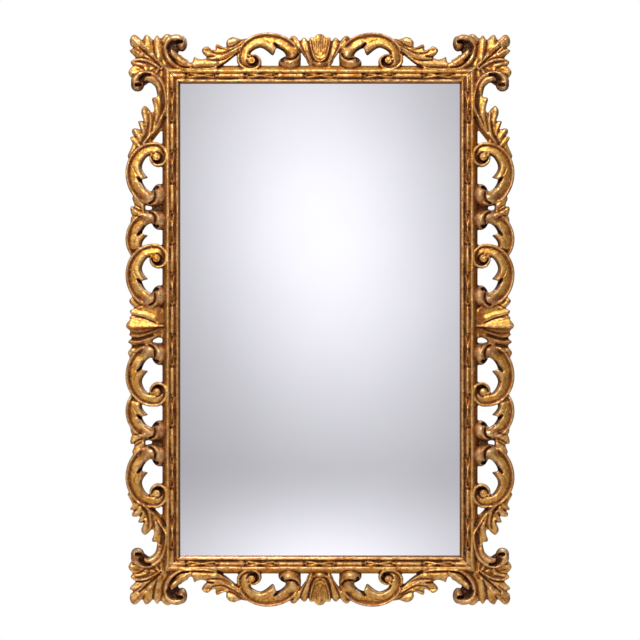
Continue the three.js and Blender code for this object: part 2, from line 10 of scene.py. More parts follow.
import bmesh
import bpy
import numpy as np
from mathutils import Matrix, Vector


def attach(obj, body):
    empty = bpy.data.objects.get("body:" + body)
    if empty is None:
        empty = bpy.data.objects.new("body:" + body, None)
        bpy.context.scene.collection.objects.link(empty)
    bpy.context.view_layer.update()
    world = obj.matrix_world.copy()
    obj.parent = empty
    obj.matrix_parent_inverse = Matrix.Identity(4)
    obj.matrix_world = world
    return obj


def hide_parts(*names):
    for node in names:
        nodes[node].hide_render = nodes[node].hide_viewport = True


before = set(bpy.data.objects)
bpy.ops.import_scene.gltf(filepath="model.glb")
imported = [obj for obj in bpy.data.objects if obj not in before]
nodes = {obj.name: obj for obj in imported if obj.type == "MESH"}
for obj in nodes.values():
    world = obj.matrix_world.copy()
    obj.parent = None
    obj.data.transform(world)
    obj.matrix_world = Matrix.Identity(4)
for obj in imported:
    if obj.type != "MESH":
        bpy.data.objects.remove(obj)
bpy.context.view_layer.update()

# %% [markdown]
# The camera stands straight in front, as a photographer stands who wants the frame's sides to
# stay parallel: far away, with a long lens. The picture is 640 pixels wide and shows 1152 mm
# where the carving is, so one pixel is 1.8 mm.

# %% Camera
MM = 0.001
CAMERA_DISTANCE = 6.0
CAMERA_HEIGHT = -0.7 * MM
CARVING_PLANE = -22 * MM
PICTURE_WIDTH = 1152 * MM
SENSOR_WIDTH = 36.0

scene = bpy.context.scene
scene.view_settings.view_transform = "Standard"

camera_data = bpy.data.cameras.new("front_camera")
camera_data.sensor_width = SENSOR_WIDTH
camera_data.lens = SENSOR_WIDTH * CAMERA_DISTANCE / PICTURE_WIDTH
camera = bpy.data.objects.new("front_camera", camera_data)
camera.location = (0, CARVING_PLANE - CAMERA_DISTANCE, CAMERA_HEIGHT)
camera.rotation_euler = (math.radians(90), 0, 0)
scene.collection.objects.link(camera)
scene.camera = camera
print("lens", round(camera_data.lens, 1), "mm at", CAMERA_DISTANCE, "m")

# %% [markdown]
# Every colour below is written as an sRGB hex value, as a colour picker shows it. Blender's
# sockets want linear light, so one function turns the one into the other. A small class wraps a
# node tree and gives each node that the finishes use again and again a short name.

# %% Colour and node helpers


def linear(hex_code):
    """An sRGB hex colour as the linear RGBA that a socket takes."""
    channels = [int(hex_code[i:i + 2], 16) / 255 for i in (1, 3, 5)]
    return tuple(c / 12.92 if c <= 0.04045 else ((c + 0.055) / 1.055) ** 2.4
                 for c in channels) + (1.0,)


class NodeTree:
    """An emptied node tree, and short ways to add to it."""

    def __init__(self, tree):
        tree.nodes.clear()
        self.tree = tree

    def add(self, kind, settings=None, **inputs):
        """Adds a node. An input is a value, or a socket to link from. i2 means input 2, and in
        any other name _ is a space."""
        node = self.tree.nodes.new(kind)
        for name, value in (settings or {}).items():
            setattr(node, name, value)
        for name, value in inputs.items():
            numbered = name[0] == "i" and name[1:].isdigit()
            socket = node.inputs[int(name[1:]) if numbered else name.replace("_", " ")]
            if isinstance(value, bpy.types.NodeSocket):
                self.tree.links.new(value, socket)
            else:
                socket.default_value = value
        return node

    def place(self):
        return self.add("ShaderNodeTexCoord").outputs["Object"]

    def attribute(self, name):
        return self.add("ShaderNodeAttribute", {"attribute_name": name}).outputs["Fac"]

    def noise(self, place, scale, detail, **more):
        return self.add("ShaderNodeTexNoise", Vector=place, Scale=scale, Detail=detail,
                        **more).outputs["Fac"]

    def ramp(self, value, low, high, out_low=0.0, out_high=1.0, shape="LINEAR"):
        """Maps low to high onto out_low to out_high, and stops at both ends."""
        return self.add("ShaderNodeMapRange", {"interpolation_type": shape}, Value=value,
                        From_Min=low, From_Max=high, To_Min=out_low,
                        To_Max=out_high).outputs["Result"]

    def mix(self, factor, a, b):
        return self.add("ShaderNodeMix", {"data_type": "RGBA"}, i0=factor, i6=a, i7=b).outputs[2]

    def maths(self, how, a, b=0.0, clamp=False):
        return self.add("ShaderNodeMath", {"operation": how, "use_clamp": clamp},
                        i0=a, i1=b).outputs[0]

    def bump(self, height, strength, depth, **more):
        return self.add("ShaderNodeBump", Strength=strength, Distance=depth * MM, Height=height,
                        **more).outputs["Normal"]

    def surface(self, **inputs):
        """Ends a material's tree with one principled surface."""
        shader = self.add("ShaderNodeBsdfPrincipled", **inputs)
        self.add("ShaderNodeOutputMaterial", i0=shader.outputs[0])


def new_finish(name):
    """An empty material and its node tree."""
    material = bpy.data.materials.new(name)
    material.use_nodes = True
    return material, NodeTree(material.node_tree)


def set_finish(obj, material):
    obj.data.materials.clear()
    obj.data.materials.append(material)


print("the mid grey #808080 is", [round(c, 3) for c in linear("#808080")])

# %% [markdown]
# The carving is drawn in plan, as a carver pounces a pattern on the board: u is the distance out
# from the moulding's outer edge, w the distance along the rail, and h the height in front of the
# frame's back. These are the sizes of the drawing, in millimetres.

# %% Sizes of the drawing
SIGHT = (252.0, 425.5)              # half the clear glass
MOULDING = 32.0
CORNER = (SIGHT[0] + MOULDING, SIGHT[1] + MOULDING)
BACK = 4.3                          # the frame's back, in front of the wall
SHELL_DROP = 10.0                   # the side shells sit below the frame's middle
MITRE_GAP = 0.3
KNOB = 30.6                         # height of the rolled knobs


def border_run(start, along, out):
    """Turns plan places on one rail into points in metres. start is (x, z)."""
    def place(u, w, h):
        x = start[0] + out[0] * u + along[0] * w
        z = start[1] + out[1] * u + along[1] * w
        return Vector((x * MM, -(BACK + h) * MM, z * MM))
    return place


def run_on(place, offset, turn=1):
    """The same rail, with w counted from another place, and backwards if turn is -1."""
    return lambda u, w, h: place(u, offset + turn * w, h)


left_run = border_run((-CORNER[0], 0.0), (0, 1), (-1, 0))
top_run = border_run((0.0, CORNER[1]), (1, 0), (0, 1))
print("a point 50 mm out on the top rail:", [round(c, 4) for c in top_run(50, 0, 0)])

# %% [markdown]
# Nearly every form on the frame is a band: a cross section that travels along a path. A flat
# grid is the easiest start. Its rows become the stations along the path and its columns go round
# the cross section, then the two long edges meet in one seam and the two ends are filled.

# %% Bands from a wrapped grid
WELD = 1e-7                         # points nearer than this are one point
SPLINE_STEPS = 16                   # fine steps between two drawn points
BLUNT = 0.04                        # how blunt the tip of a band is

# Across a band: a share of half its width, and a share of its height
BAND_SECTIONS = {
    "ridge": [(-1, 0.7), (-0.55, 0.86), (0, 1.0), (0.55, 0.86), (1, 0.7)],
    "round": [(-1, 0.45), (-0.8, 0.8), (-0.4, 0.97), (0, 1.0), (0.4, 0.97), (0.8, 0.8), (1, 0.45)],
}
LAST_RISES = (2.6, 1.4)             # a slab's front edge leans in over these two steps
LEAN_IN = 1.3


def add_to(whole, piece):
    """Turns a closed piece's faces outward and adds it to the whole."""
    bmesh.ops.recalc_face_normals(piece, faces=piece.faces)
    carry = bpy.data.meshes.new("carry")
    piece.to_mesh(carry)
    piece.free()
    whole.from_mesh(carry)
    bpy.data.meshes.remove(carry)


def wrap_grid(whole, rings):
    """Wraps a flat grid round the rings, closes it, and adds it to the whole."""
    rows, columns = len(rings), len(rings[0])
    piece = bmesh.new()
    bmesh.ops.create_grid(piece, x_segments=columns, y_segments=rows - 1, size=1.0)
    for vertex in piece.verts:
        column = round((vertex.co.x + 1) / 2 * columns) % columns
        row = round((vertex.co.y + 1) / 2 * (rows - 1))
        vertex.co = rings[row][column]
    bmesh.ops.remove_doubles(piece, verts=piece.verts, dist=WELD)
    ends = [edge for edge in piece.edges if edge.is_boundary]
    bmesh.ops.holes_fill(piece, edges=ends, sides=0)
    add_to(whole, piece)


def lerp(a, b, t):
    return a + (b - a) * t


def smoothstep(a, b, x):
    t = min(1.0, max(0.0, (x - a) / (b - a)))
    return t * t * (3 - 2 * t)


def through(stops, t):
    """The value at t from rows of (place, value), along straight lines between the rows."""
    places, values = zip(*stops)
    if t <= places[0]:
        return values[0]
    for i in range(len(stops) - 1):
        if t <= places[i + 1]:
            share = (t - places[i]) / (places[i + 1] - places[i])
            return lerp(values[i], values[i + 1], share)
    return values[-1]


def spline(points, count):
    """Even steps along a smooth curve through the plan points."""
    padded = [points[0], *points, points[-1]]
    fine = []
    for i in range(len(points) - 1):
        p0, p1, p2, p3 = (np.array(padded[i + k], float) for k in range(4))
        for step in range(SPLINE_STEPS):
            t = step / SPLINE_STEPS
            fine.append(0.5 * (2 * p1 + (p2 - p0) * t + (2 * p0 - 5 * p1 + 4 * p2 - p3) * t * t
                               + (3 * p1 - p0 - 3 * p2 + p3) * t ** 3))
    fine.append(np.array(points[-1], float))
    fine = np.array(fine)
    steps = np.linalg.norm(np.diff(fine[:, :2], axis=0), axis=1)
    lengths = np.concatenate([[0], np.cumsum(steps)])
    wanted = np.linspace(0, lengths[-1], count)
    return np.array([[np.interp(s, lengths, column) for column in fine.T] for s in wanted])


def sideways(path):
    """Unit vectors to the left of a plan path at each of its points."""
    heading = np.gradient(path[:, :2], axis=0)
    heading /= np.linalg.norm(heading, axis=1)[:, None]
    return np.stack([-heading[:, 1], heading[:, 0]], axis=1)


def finger(whole, place, points, count, section, tip):
    """A band along a path of (u, w, width, height). Its far end narrows over the tip's share."""
    path = spline(points, count)
    rings = []
    for i, ((u, w, width, height), (su, sw)) in enumerate(zip(path, sideways(path))):
        broad = width / 2
        if i > count / 2:
            end = min(1.0, (count - 1 - i) / max(1, round(tip * count)) + BLUNT)
            broad *= math.sqrt(end * (2 - end))
        ring = [place(u + su * a * broad, w + sw * a * broad, max(1.0, b * height))
                for a, b in BAND_SECTIONS[section]]
        ring += [place(u + su * broad, w + sw * broad, 0), place(u - su * broad, w - sw * broad, 0)]
        rings.append(ring)
    wrap_grid(whole, rings)


def egg(whole, place, shape, height, low=0.0):
    """A rounded boss of shape (u, w, half its size in u, half in w) with a flat foot."""
    u, w, half_u, half_w = shape
    piece = bmesh.new()
    bmesh.ops.create_uvsphere(piece, u_segments=28, v_segments=16, radius=1.0)
    for vertex in piece.verts:
        x, y, z = vertex.co
        vertex.co = place(u + half_u * x, w + half_w * y, max(low, low + (height - low) * z))
    bmesh.ops.remove_doubles(piece, verts=piece.verts, dist=WELD)
    add_to(whole, piece)


def slab(whole, place, outline, height):
    """A flat piece of wood with a drawn outline and softened front edges."""
    edge = spline([*outline, outline[0]], 5 * len(outline))[:-1]
    piece = bmesh.new()
    front = piece.faces.new([piece.verts.new(place(u, w, 0)) for u, w in edge])
    raised = bmesh.ops.extrude_face_region(piece, geom=[front])["geom"]
    top = [f for f in raised if isinstance(f, bmesh.types.BMFace)]
    bmesh.ops.translate(piece, vec=(0, -(height - sum(LAST_RISES)) * MM, 0), verts=top[0].verts)
    for rise in LAST_RISES:
        bmesh.ops.inset_region(piece, faces=top, thickness=LEAN_IN * MM, depth=0.0)
        bmesh.ops.translate(piece, vec=(0, -rise * MM, 0), verts=top[0].verts)
    add_to(whole, piece)


print("band sections:", sorted(BAND_SECTIONS))

# %% [markdown]
# A gouge cuts what a band can't give: the eye of a knob, the crease beside a roll, the dark line
# between two leaves. Each stroke is a plan path with a radius and a depth. The strokes are kept
# in lists while the bands are made, and are pressed into the finished surface later. A second
# list marks where hands and cloths have burnished the leaf on the highest rolls.

# %% Strokes of the gouge
CUT_WIDTH, CUT_DEPTH = 0.74, 0.60   # all drawn veins are cut a little finer than drawn
DEEPEST = 3.0                       # wood that a stroke leaves above the frame's back
strokes = []
burnishes = []


def in_metres(place, points):
    """The (x, z) of plan points on one rail."""
    return [(p.x, p.z) for p in (place(u, w, 0) for u, w in points)]


def gouge(place, points, radius, depth, floor=DEEPEST):
    """A cut along a plan path. A negative depth raises a ridge."""
    strokes.append((in_metres(place, points), radius * MM, depth * MM, floor * MM))


def burnish(place, points, radius, weight=1.0):
    """Marks worn, burnished leaf along a plan path."""
    burnishes.append((in_metres(place, points), radius * MM, weight))


def press_drawing(place, rows):
    """Gouges every (points, radius, depth) row. Cuts of three or more points are curves."""
    for points, radius, depth in rows:
        curve = spline(points, 4 * len(points)) if len(points) > 2 else points
        if depth > 0:
            radius, depth = radius * CUT_WIDTH, depth * CUT_DEPTH
        gouge(place, curve, radius, depth)


# %% [markdown]
# The C-scroll is the frame's main motif. One end coils into a flat volute round a button, the
# body sweeps out as half an ellipse with a raised rim and a hollow channel, a thorn springs from
# its inner edge, and the other end rolls forward into an egg-shaped knob. It is drawn once at its
# own size and stretched to the length and reach that each place on the frame gives it.

# %% C-scrolls
SCROLL_LENGTH, SCROLL_REACH = 114.0, 64.5
BODY_CENTRE = (16.0, 54.0)
BODY_OUTER, BODY_INNER = (48.5, 55.0), (21.5, 33.5)
ROLL_LENGTH = 60.0                  # the rolled half is a little longer
BODY_START, SHORT_START, BODY_END = -90, -46, 104      # degrees round the body's centre
STATION_STEP, THORN_STEP = 5, 2.5
COILED, ROLLED = (20, 110), (52, 80)  # degrees over which the coil and the roll take over
TUCK, TUCK_STATIONS = 0.62, 5       # a short scroll starts low, under its neighbour

# The volute: its eye, the least breadth of its band, and rows of degrees back from the body and
# the rim's distance from the eye. It starts at COIL_TURN, and the body grows out of its core.
EYE, CORE, THINNEST = (9.9, 25.7), 3.0, 5.4
COIL = [(0, 27), (45, 22.4), (90, 19.8), (135, 19.8), (180, 17.8), (225, 14.4), (270, 12.6),
        (330, 10.4), (400, 8), (450, 6)]
COIL_TURN, COIL_STEP, CORE_END = 300, 9, -60
BUTTON_RADIUS, BUTTON_HEIGHT, GROOVE_RADIUS = 7.4, 22.5, 8.6
SWIRL = [(0.7 * k, 5.4 - 0.42 * k) for k in range(8)]  # angle, and distance from the eye

# A thorn is its length, how hollow its back is and how many degrees its blunt tip takes
SIDE_THORN, TOP_THORN = (12.0, 1.8, 3.5), (17.0, 1.3, 10.0)
THORN_FROM, THORN_TIP = -24, 14
THORN_NEAR = (THORN_TIP - 12, THORN_TIP + 18)
# The cut behind the thorn: degrees, and the distance past the inner edge
NOTCH = [(13, 5.8), (18, 4), (26, 2.4), (36, 1.8), (48, 1.6)]

# The knob is an egg, and the end of the roll lies over it
KNOB_EGG, ROLL_EGG = (5.0, 93.4, 14.8, 20.4), (20.5, 97.0, 9.5, 9.0)
ROLL_HEIGHTS = (25.0, 29.5)         # hardly and fully burnished scrolls
KNOB_EYE = [(15.6, 81.2), (8.6, 80.8)]
KNOB_DRAWING = [
    ([(14.6, 83), (12.4, 90), (11.8, 97), (15, 104.6), (22, 108.6)], 3.4, 14.0),
    ([(6, 84), (5.4, 91), (6, 99), (10, 108), (18, 112.6)], 2.4, -1.6),
]
VEIN = ([(43.4, 59), (47.6, 53), (50, 45)], 1.8, 1.8)
# The other cuts: radius, depth and, for the deepest, the floor
SWIRL_CUT, GROOVE_CUT, KNOB_EYE_CUT = (1.0, 1.7), (1.7, 4.5), (3.9, 22.0, 6.0)
NOTCH_CUTS = (3.6, 14.0), (4.4, 13.0)
# Where it is rubbed: a path, its radius and how much
KNOB_RUB = ([(2, 84), (0.5, 92), (3, 104), (14, 105), (28, 103)], 15.0)
BODY_RUBS = [([(44, 97), (54, 85), (60.5, 70), (63, 54), (61, 38)], 5.0, 0.8),
             ([(61, 38), (54, 20), (40, 6)], 4.0, 0.4)]

# Across the body: distance from the outer edge, then a share of the rest, then the height for
# the open body, the coil and the rolled end
RIM_WIDTH, RIM_SHARE = 5.2, 0.45    # and the most of a narrow band that the rim takes
SECTION = [
    (0, 0, 0, 0, 0), (0, 0, 13, 13, 10), (0.5, 0, 19.4, 20, 13.5), (1.3, 0, 23, 23.4, 16),
    (2.4, 0, 24, 24.4, 18.4), (3.8, 0, 23.8, 24.2, 21), (4.8, 0, 22.2, 22.6, 22.8),
    (5.2, 0.03, 20.2, 18, 23.8), (5.2, 0.1, 19, 14, 25.4), (5.2, 0.2, 19.2, 13.2, 27.4),
    (5.2, 0.36, 20.4, 13.2, 29), (5.2, 0.56, 21.6, 13.2, 28.4), (5.2, 0.74, 21.6, 13.2, 25.4),
    (5.2, 0.82, 20.2, 14.6, 22.4), (5.2, 0.88, 17.6, 14.4, 19.4), (5.2, 0.94, 13.6, 13.6, 15),
    (5.2, 1, 8, 11, 10), (5.2, 1, 0, 0, 0),
]


def round_at(centre, radii, angle):
    """The plan point at an angle on the ellipse round a centre."""
    return (centre[0] + radii[0] * math.cos(angle), centre[1] + radii[1] * math.sin(angle))


def thorn_inset(angle, thorn):
    """How far the inner edge stands in from its ellipse, where the thorn is."""
    length, curve, blunt = thorn
    past = angle - THORN_TIP
    if angle < THORN_FROM or past > blunt + 6:
        return 0.0
    if past <= 0:
        return length * ((angle - THORN_FROM) / (THORN_TIP - THORN_FROM)) ** curve
    return through([(0, length), (0.4 * blunt, 0.97 * length), (blunt, 0.55 * length),
                    (blunt + 2.5, -1.5), (blunt + 6, 0.0)], past)


def scroll_stations(coil, thorn):
    """Rows of outer point, inner point, coil share and roll share."""
    rows = []
    if coil:
        for turn in range(COIL_TURN, 0, -COIL_STEP):
            angle = math.radians(BODY_START - turn)
            rim = through(COIL, turn)
            core = min(CORE, rim - THINNEST)
            rows.append((round_at(EYE, (rim, rim), angle), round_at(EYE, (core, core), angle),
                         smoothstep(*COILED, turn), 0.0))
    angle = BODY_START if coil else SHORT_START
    while angle <= BODY_END:
        theta = math.radians(angle)
        half_length = ROLL_LENGTH if angle > 0 else BODY_OUTER[1]
        inner_reach = BODY_INNER[0] - thorn_inset(angle, thorn)
        outer = round_at(BODY_CENTRE, (BODY_OUTER[0], half_length), theta)
        inner = round_at(BODY_CENTRE, (inner_reach, BODY_INNER[1]), theta)
        if coil and angle < CORE_END:
            share = smoothstep(BODY_START, CORE_END, angle)
            core = round_at(EYE, (CORE, CORE), theta)
            inner = tuple(lerp(a, b, share) for a, b in zip(core, inner))
        rows.append((outer, inner, 0.0, smoothstep(*ROLLED, angle)))
        angle += THORN_STEP if THORN_NEAR[0] <= angle <= THORN_NEAR[1] else STATION_STEP
    return rows


def carve_scroll(whole, place, length, reach, thorn, wear=1.0, coil=True):
    """One C-scroll with its volute (if coil), thorn and knob. wear is how burnished it is."""
    def at(u, w, h):
        return place(u * (reach / SCROLL_REACH), w * (length / SCROLL_LENGTH), h)

    rings = []
    for i, (outer, inner, coiled, rolled) in enumerate(scroll_stations(coil, thorn)):
        across = math.hypot(inner[0] - outer[0], inner[1] - outer[1])
        tucked = 1.0 if coil else lerp(TUCK, 1.0, min(1.0, i / TUCK_STATIONS))
        ring = []
        for edge, rest, body_h, coil_h, roll_h in SECTION:
            past = min(edge, across * RIM_SHARE) + rest * max(0.0, across - RIM_WIDTH)
            t = min(1.0, past / across)
            height = lerp(lerp(body_h, coil_h, coiled), roll_h, rolled) * tucked
            ring.append(at(lerp(outer[0], inner[0], t), lerp(outer[1], inner[1], t), height))
        rings.append(ring)
    wrap_grid(whole, rings)

    if coil:
        turns = [k * math.pi / 8 for k in range(16)]
        slab(whole, at, [round_at(EYE, (BUTTON_RADIUS,) * 2, a) for a in turns], BUTTON_HEIGHT)
        gouge(at, [round_at(EYE, (r, r), a) for a, r in SWIRL], *SWIRL_CUT)
        gouge(at, [round_at(EYE, (GROOVE_RADIUS,) * 2, a) for a in turns[:13]], *GROOVE_CUT)
    notch = [round_at(BODY_CENTRE, (BODY_INNER[0] + past, BODY_INNER[1] + past),
                      math.radians(degrees + thorn[2] - SIDE_THORN[2])) for degrees, past in NOTCH]
    egg(whole, at, KNOB_EGG, KNOB)
    egg(whole, at, ROLL_EGG, lerp(*ROLL_HEIGHTS, wear))
    gouge(at, KNOB_EYE, *KNOB_EYE_CUT)
    press_drawing(at, [*KNOB_DRAWING, (notch[:3], *NOTCH_CUTS[0]), (notch[1:], *NOTCH_CUTS[1]),
                       VEIN])
    burnish(at, *KNOB_RUB, wear)
    for rub in BODY_RUBS:
        burnish(at, *rub)


print("scroll stations:", len(scroll_stations(True, SIDE_THORN)))

# %% [markdown]
# The leaf scroll leaves the shoulder of the last C-scroll, sweeps along the moulding and curls
# back into a hook. Its front end is a broad leaf with five lobes: a flat slab sawn to a drawn
# outline, then modelled with the gouge. Bellies and ribs are raised, veins and slots are cut.
# The hook is a rope of wood that ends in a knob, round a second, smaller roll in a deep hollow.

# %% Leaf scrolls
# Side leaf: distance past the stile, and down from the moulding's corner
SIDE_LEAF = {
    "turn": (1, -1),
    "outline": [
        (9, 55), (10.8, 57.4), (16, 57), (18.4, 59.6), (18.2, 64), (16.2, 70), (14.8, 79),
        (16.6, 84), (19.6, 84.2), (24, 78), (28, 74), (31.5, 72), (35, 75), (37.6, 80), (37.8, 86),
        (36, 92), (34, 98), (33, 101.2), (36, 100), (40, 99.2), (43.6, 100.6), (42.6, 105),
        (40.6, 111), (39.4, 115.6), (42, 114.6), (47, 113), (52.8, 113.4), (55, 118), (54.4, 122),
        (51.6, 125.4), (52.4, 128.2), (56.6, 127.6), (58, 130.6), (56, 135), (53.6, 140),
        (56.4, 148), (60, 156), (62.4, 165), (55, 166), (44, 156), (30, 146), (20, 137.8), (8, 123),
        (-1, 111), (-6, 95), (-7.6, 80), (-7, 65), (-5, 50), (0, 38), (5, 45)],
    "drawing": [
        ([(-3, 40), (-6, 54), (-7, 68), (-4.8, 80), (-1.4, 87), (3, 97), (8, 105), (14, 116),
          (21, 126), (34, 140)], 2.6, -3.6),
        ([(21.6, 86), (20.5, 98), (21.6, 114), (24, 126), (33, 141)], 3.6, -3.8),
        ([(33, 78), (32, 88), (29.5, 102)], 8, -2.8),
        ([(15, 61), (11.5, 71), (9, 84), (9, 96)], 6.5, -2.6),
        ([(41, 103), (36, 112), (33, 124)], 5.5, -2.4),
        ([(50, 117), (44, 124), (39, 133)], 6.5, -2.8), ([(55, 131), (49, 136), (42, 144)], 5, -2),
        ([(24.6, 101), (26, 112), (28.2, 121), (36, 135)], 1.9, 4.5),
        ([(14, 88), (15, 98), (17.4, 108), (19.4, 119)], 1.9, 3.6),
        ([(5, 92), (9, 103), (12.4, 112), (18, 121.5)], 2.2, 4.2),
        ([(3, 48), (1.4, 60), (0.4, 74), (2, 88)], 4.2, 4.2), ([(34.6, 97), (32.5, 104)], 2.4, 8),
        ([(39.6, 114), (36.4, 122)], 2.2, 6), ([(51.8, 125), (46.6, 129.4)], 2.2, 5),
        ([(19.4, 84), (18.2, 92)], 2.2, 4), ([(52.6, 119), (51, 120)], 2.6, 6),
        ([(54.6, 130.4), (53, 131.6)], 2.2, 5),
        ([(-5, 94), (0.5, 107), (8.5, 120), (18, 132)], 5, 10)],
    "rope": [
        (-7, 78, 4.5, 22.5), (-6.6, 60, 6, 24), (-4.4, 45, 8, 24.5), (0.6, 31, 10, 25),
        (8, 21.5, 10.5, 26), (18, 15.6, 10, 27), (28.5, 13.4, 8, 28), (38, 15.4, 9.5, 29),
        (45, 20.6, 13, 30), (49.5, 28, 16, 30), (47.5, 35, 17, 30)],
    "roll": [
        (3.5, 52, 12, 22), (6.5, 37, 13, 23.5), (13, 28, 14, 25), (21, 23.8, 13, 26),
        (28, 23.2, 12, 25.5), (32.6, 27, 9, 22)],
    "knob": (45.2, 34, 12.2, 12.2),
    "eye": [(39.6, 34.6), (45.6, 35.6)],
    "hollow": [(22, 16.8), (28, 16.2), (34, 17.6), (39.4, 22.4), (39.4, 27.4), (35.6, 31.4)],
    "web": [(16, 20), (30, 12), (42, 16), (47, 26), (42, 36), (32, 35), (24, 30), (14, 32)],
    "foot": [(-9, -4), (6, 2), (20, 8), (34, 10), (30, 18), (14, 20), (2, 32), (-5, 48), (-9, 44)],
}
# Top leaf: distance in from the moulding's corner, and up past the rail
TOP_LEAF = {
    "turn": (-1, 1),
    "outline": [
        (22, 6), (28, 16), (33, 19.5), (40, 12), (48, 6.6), (53, 5.2), (55.6, 10), (57.5, 16.4),
        (62, 13.5), (70, 11.2), (77, 12.5), (80, 15), (77, 18.5), (73, 22.5), (71, 27.5), (74, 32),
        (81, 35), (86, 31.5), (92, 28), (96.5, 28.2), (95.5, 32.5), (97, 37.8), (100, 38.5),
        (106, 35.5), (113, 32.5), (115.5, 35), (114.8, 41), (118, 47), (123, 50.5), (129, 51.6),
        (135, 49.5), (143, 47.4), (152, 48.6), (156, 40), (150, 30), (140, 25), (127, 15), (116, 6),
        (106, 0), (95, -4.5), (85, -6.8), (60, -8.2), (40, -7.8), (28, -3)],
    "drawing": [
        ([(36, -6.6), (60, -7.2), (85, -6), (98, -3)], 2, -3.4),
        ([(32, 8), (45, 0.4), (60, 2), (78, 3), (95, 4)], 7.5, -2.8),
        ([(84, 12.6), (95, 13), (106, 14.2), (118, 20.6), (130, 28), (138, 33)], 3.4, -3.8),
        ([(75, 30), (83, 32), (91, 28)], 4.5, -2),
        ([(76, 24), (86, 20.4), (97, 17.8), (110, 18.6)], 4, -2.4),
        ([(120, 42), (131, 44.6)], 9, -3.2), ([(98, 36), (106, 32), (118, 31)], 3, -2),
        ([(86, 28), (93, 23), (103, 20.8), (114, 22.8), (126, 28.4), (137, 34.6)], 1.9, 4.4),
        ([(79.4, 14.6), (86, 15.2), (92, 16)], 2.6, 8),
        ([(80, 10.6), (92, 8.8), (105, 9), (117, 13), (126, 19)], 1.7, 4),
        ([(98, 32.6), (104, 30.6), (111, 29.4)], 2.2, 4),
        ([(116, 32.6), (124, 33.2), (132, 37), (140, 43), (147, 47)], 1.9, 5),
        ([(121, 48), (123, 48.4)], 2.2, 5),
        ([(101, -4), (113, 3), (125, 12.6), (138, 23.4)], 4.6, 10),
        ([(49.6, 6), (53, 1), (55.4, -3.6)], 1.4, 2.6),
        ([(48, -4.6), (34, -2.2), (24, 4), (17, 12), (13, 19)], 2.4, 9)],
    "rope": [
        (64, -6.8, 4.5, 22.5), (46, -6.6, 5.5, 23.5), (32, -4, 8, 24.5), (20.5, 2, 10, 25.5),
        (11.5, 12, 11, 26.5), (6.8, 24, 10, 27), (6.8, 36, 10, 28), (12.4, 46, 11.5, 29),
        (21, 49.6, 13, 30), (29.5, 49, 15, 30.2), (35.5, 44, 16, 30.2)],
    "roll": [
        (44, 4, 14, 21.5), (33, 9.6, 15, 22.5), (24.6, 16, 14, 24), (18.6, 22.6, 14, 25.5),
        (17, 28.4, 12, 25)],
    "knob": (35, 40.6, 9.6, 14.6),
    "eye": [(28.6, 42.4), (34.4, 42)],
    "hollow": [(9.8, 31), (12.6, 37.4), (19, 41.2), (27, 41.6)],
    "web": [(6, 18), (5.6, 38), (14, 47), (28, 48), (36, 38), (29.6, 27), (24, 14), (14, 12)],
    "foot": [(-4, -10), (-3, 4), (1, 16), (8, 20), (16, 12), (26, 2), (40, -6), (30, -10)],
}
LEAF_HEIGHT, LEAF_WEB_HEIGHT, LEAF_FOOT_HEIGHT = 19.5, 9.0, 18.0
LEAF_EYE_CUT, HOOK_CUT = (4.4, 18.0, 7.0), (3.4, 9.0, 12.0)        # radius, depth, floor
LEAF_KNOB_RUB, ROPE_RUB, ROLL_RUB = 15.0, (7.0, 0.8), (7.0, 0.6)   # radius, and how much


def carve_leaf_scroll(whole, place, leaf):
    """place takes (past the stile, past the rail, height) from the moulding's corner."""
    turn = leaf["turn"]

    def at(a, b, h):
        return place(turn[0] * a, turn[1] * b, h)

    slab(whole, at, leaf["outline"], LEAF_HEIGHT)
    slab(whole, at, leaf["web"], LEAF_WEB_HEIGHT)
    slab(whole, at, leaf["foot"], LEAF_FOOT_HEIGHT)
    finger(whole, at, leaf["rope"], count=44, section="round", tip=0.1)
    finger(whole, at, leaf["roll"], count=24, section="round", tip=0.3)
    egg(whole, at, leaf["knob"], KNOB)
    press_drawing(at, leaf["drawing"])
    gouge(at, leaf["eye"], *LEAF_EYE_CUT)
    gouge(at, spline(leaf["hollow"], 16), *HOOK_CUT)
    a, b = leaf["knob"][:2]
    burnish(at, [(a, b), (a + 1, b + 1)], LEAF_KNOB_RUB)
    burnish(at, [row[:2] for row in leaf["rope"][3:]], *ROPE_RUB)
    burnish(at, [row[:2] for row in leaf["roll"][2:]], *ROLL_RUB)


# %% [markdown]
# A corner is filled by one big leaf that straddles the mitre. It has a strong middle rib on the
# mitre itself and broad round lobes on both sides. Near the side rail its surface folds over in a
# rolled edge with a hollow under it. It is carved on both rails and sawn apart later.

# %% Corner leaves
# Places are measured from the moulding's corner: outward past the stile, and up past the rail
CORNER_OUTLINE = [
    (57, 36), (58.6, 42), (58, 48), (55, 53.2), (51, 55.6), (46, 54.3), (41, 50), (37.6, 46.6),
    (35, 47), (33, 51.5), (30, 55.4), (26, 54.6), (22, 52), (19, 48.2), (16.6, 46.4), (14.2, 48),
    (12, 51.6), (9.5, 54.7), (6.6, 53), (4.6, 49.6), (2, 49), (-1, 52), (-5, 55.5), (-10, 57.2),
    (-15, 55), (-17, 50), (-12, 42), (-7, 34), (-4, 24), (-5, 12), (-9, 3), (-6, -6), (3, -10),
    (12, -12), (25, -12), (38, -15), (48, -20), (56, -21), (59.5, -17), (61, -12), (59, -7),
    (55.4, -3), (52.6, -0.6), (55, 1.6), (57, 4.5), (56, 8), (52, 10.6), (48.2, 12.6), (49.6, 15.8),
    (53, 20), (57.4, 24), (58.6, 27.4), (55, 29.8), (51.8, 31.4), (53, 33.4),
]
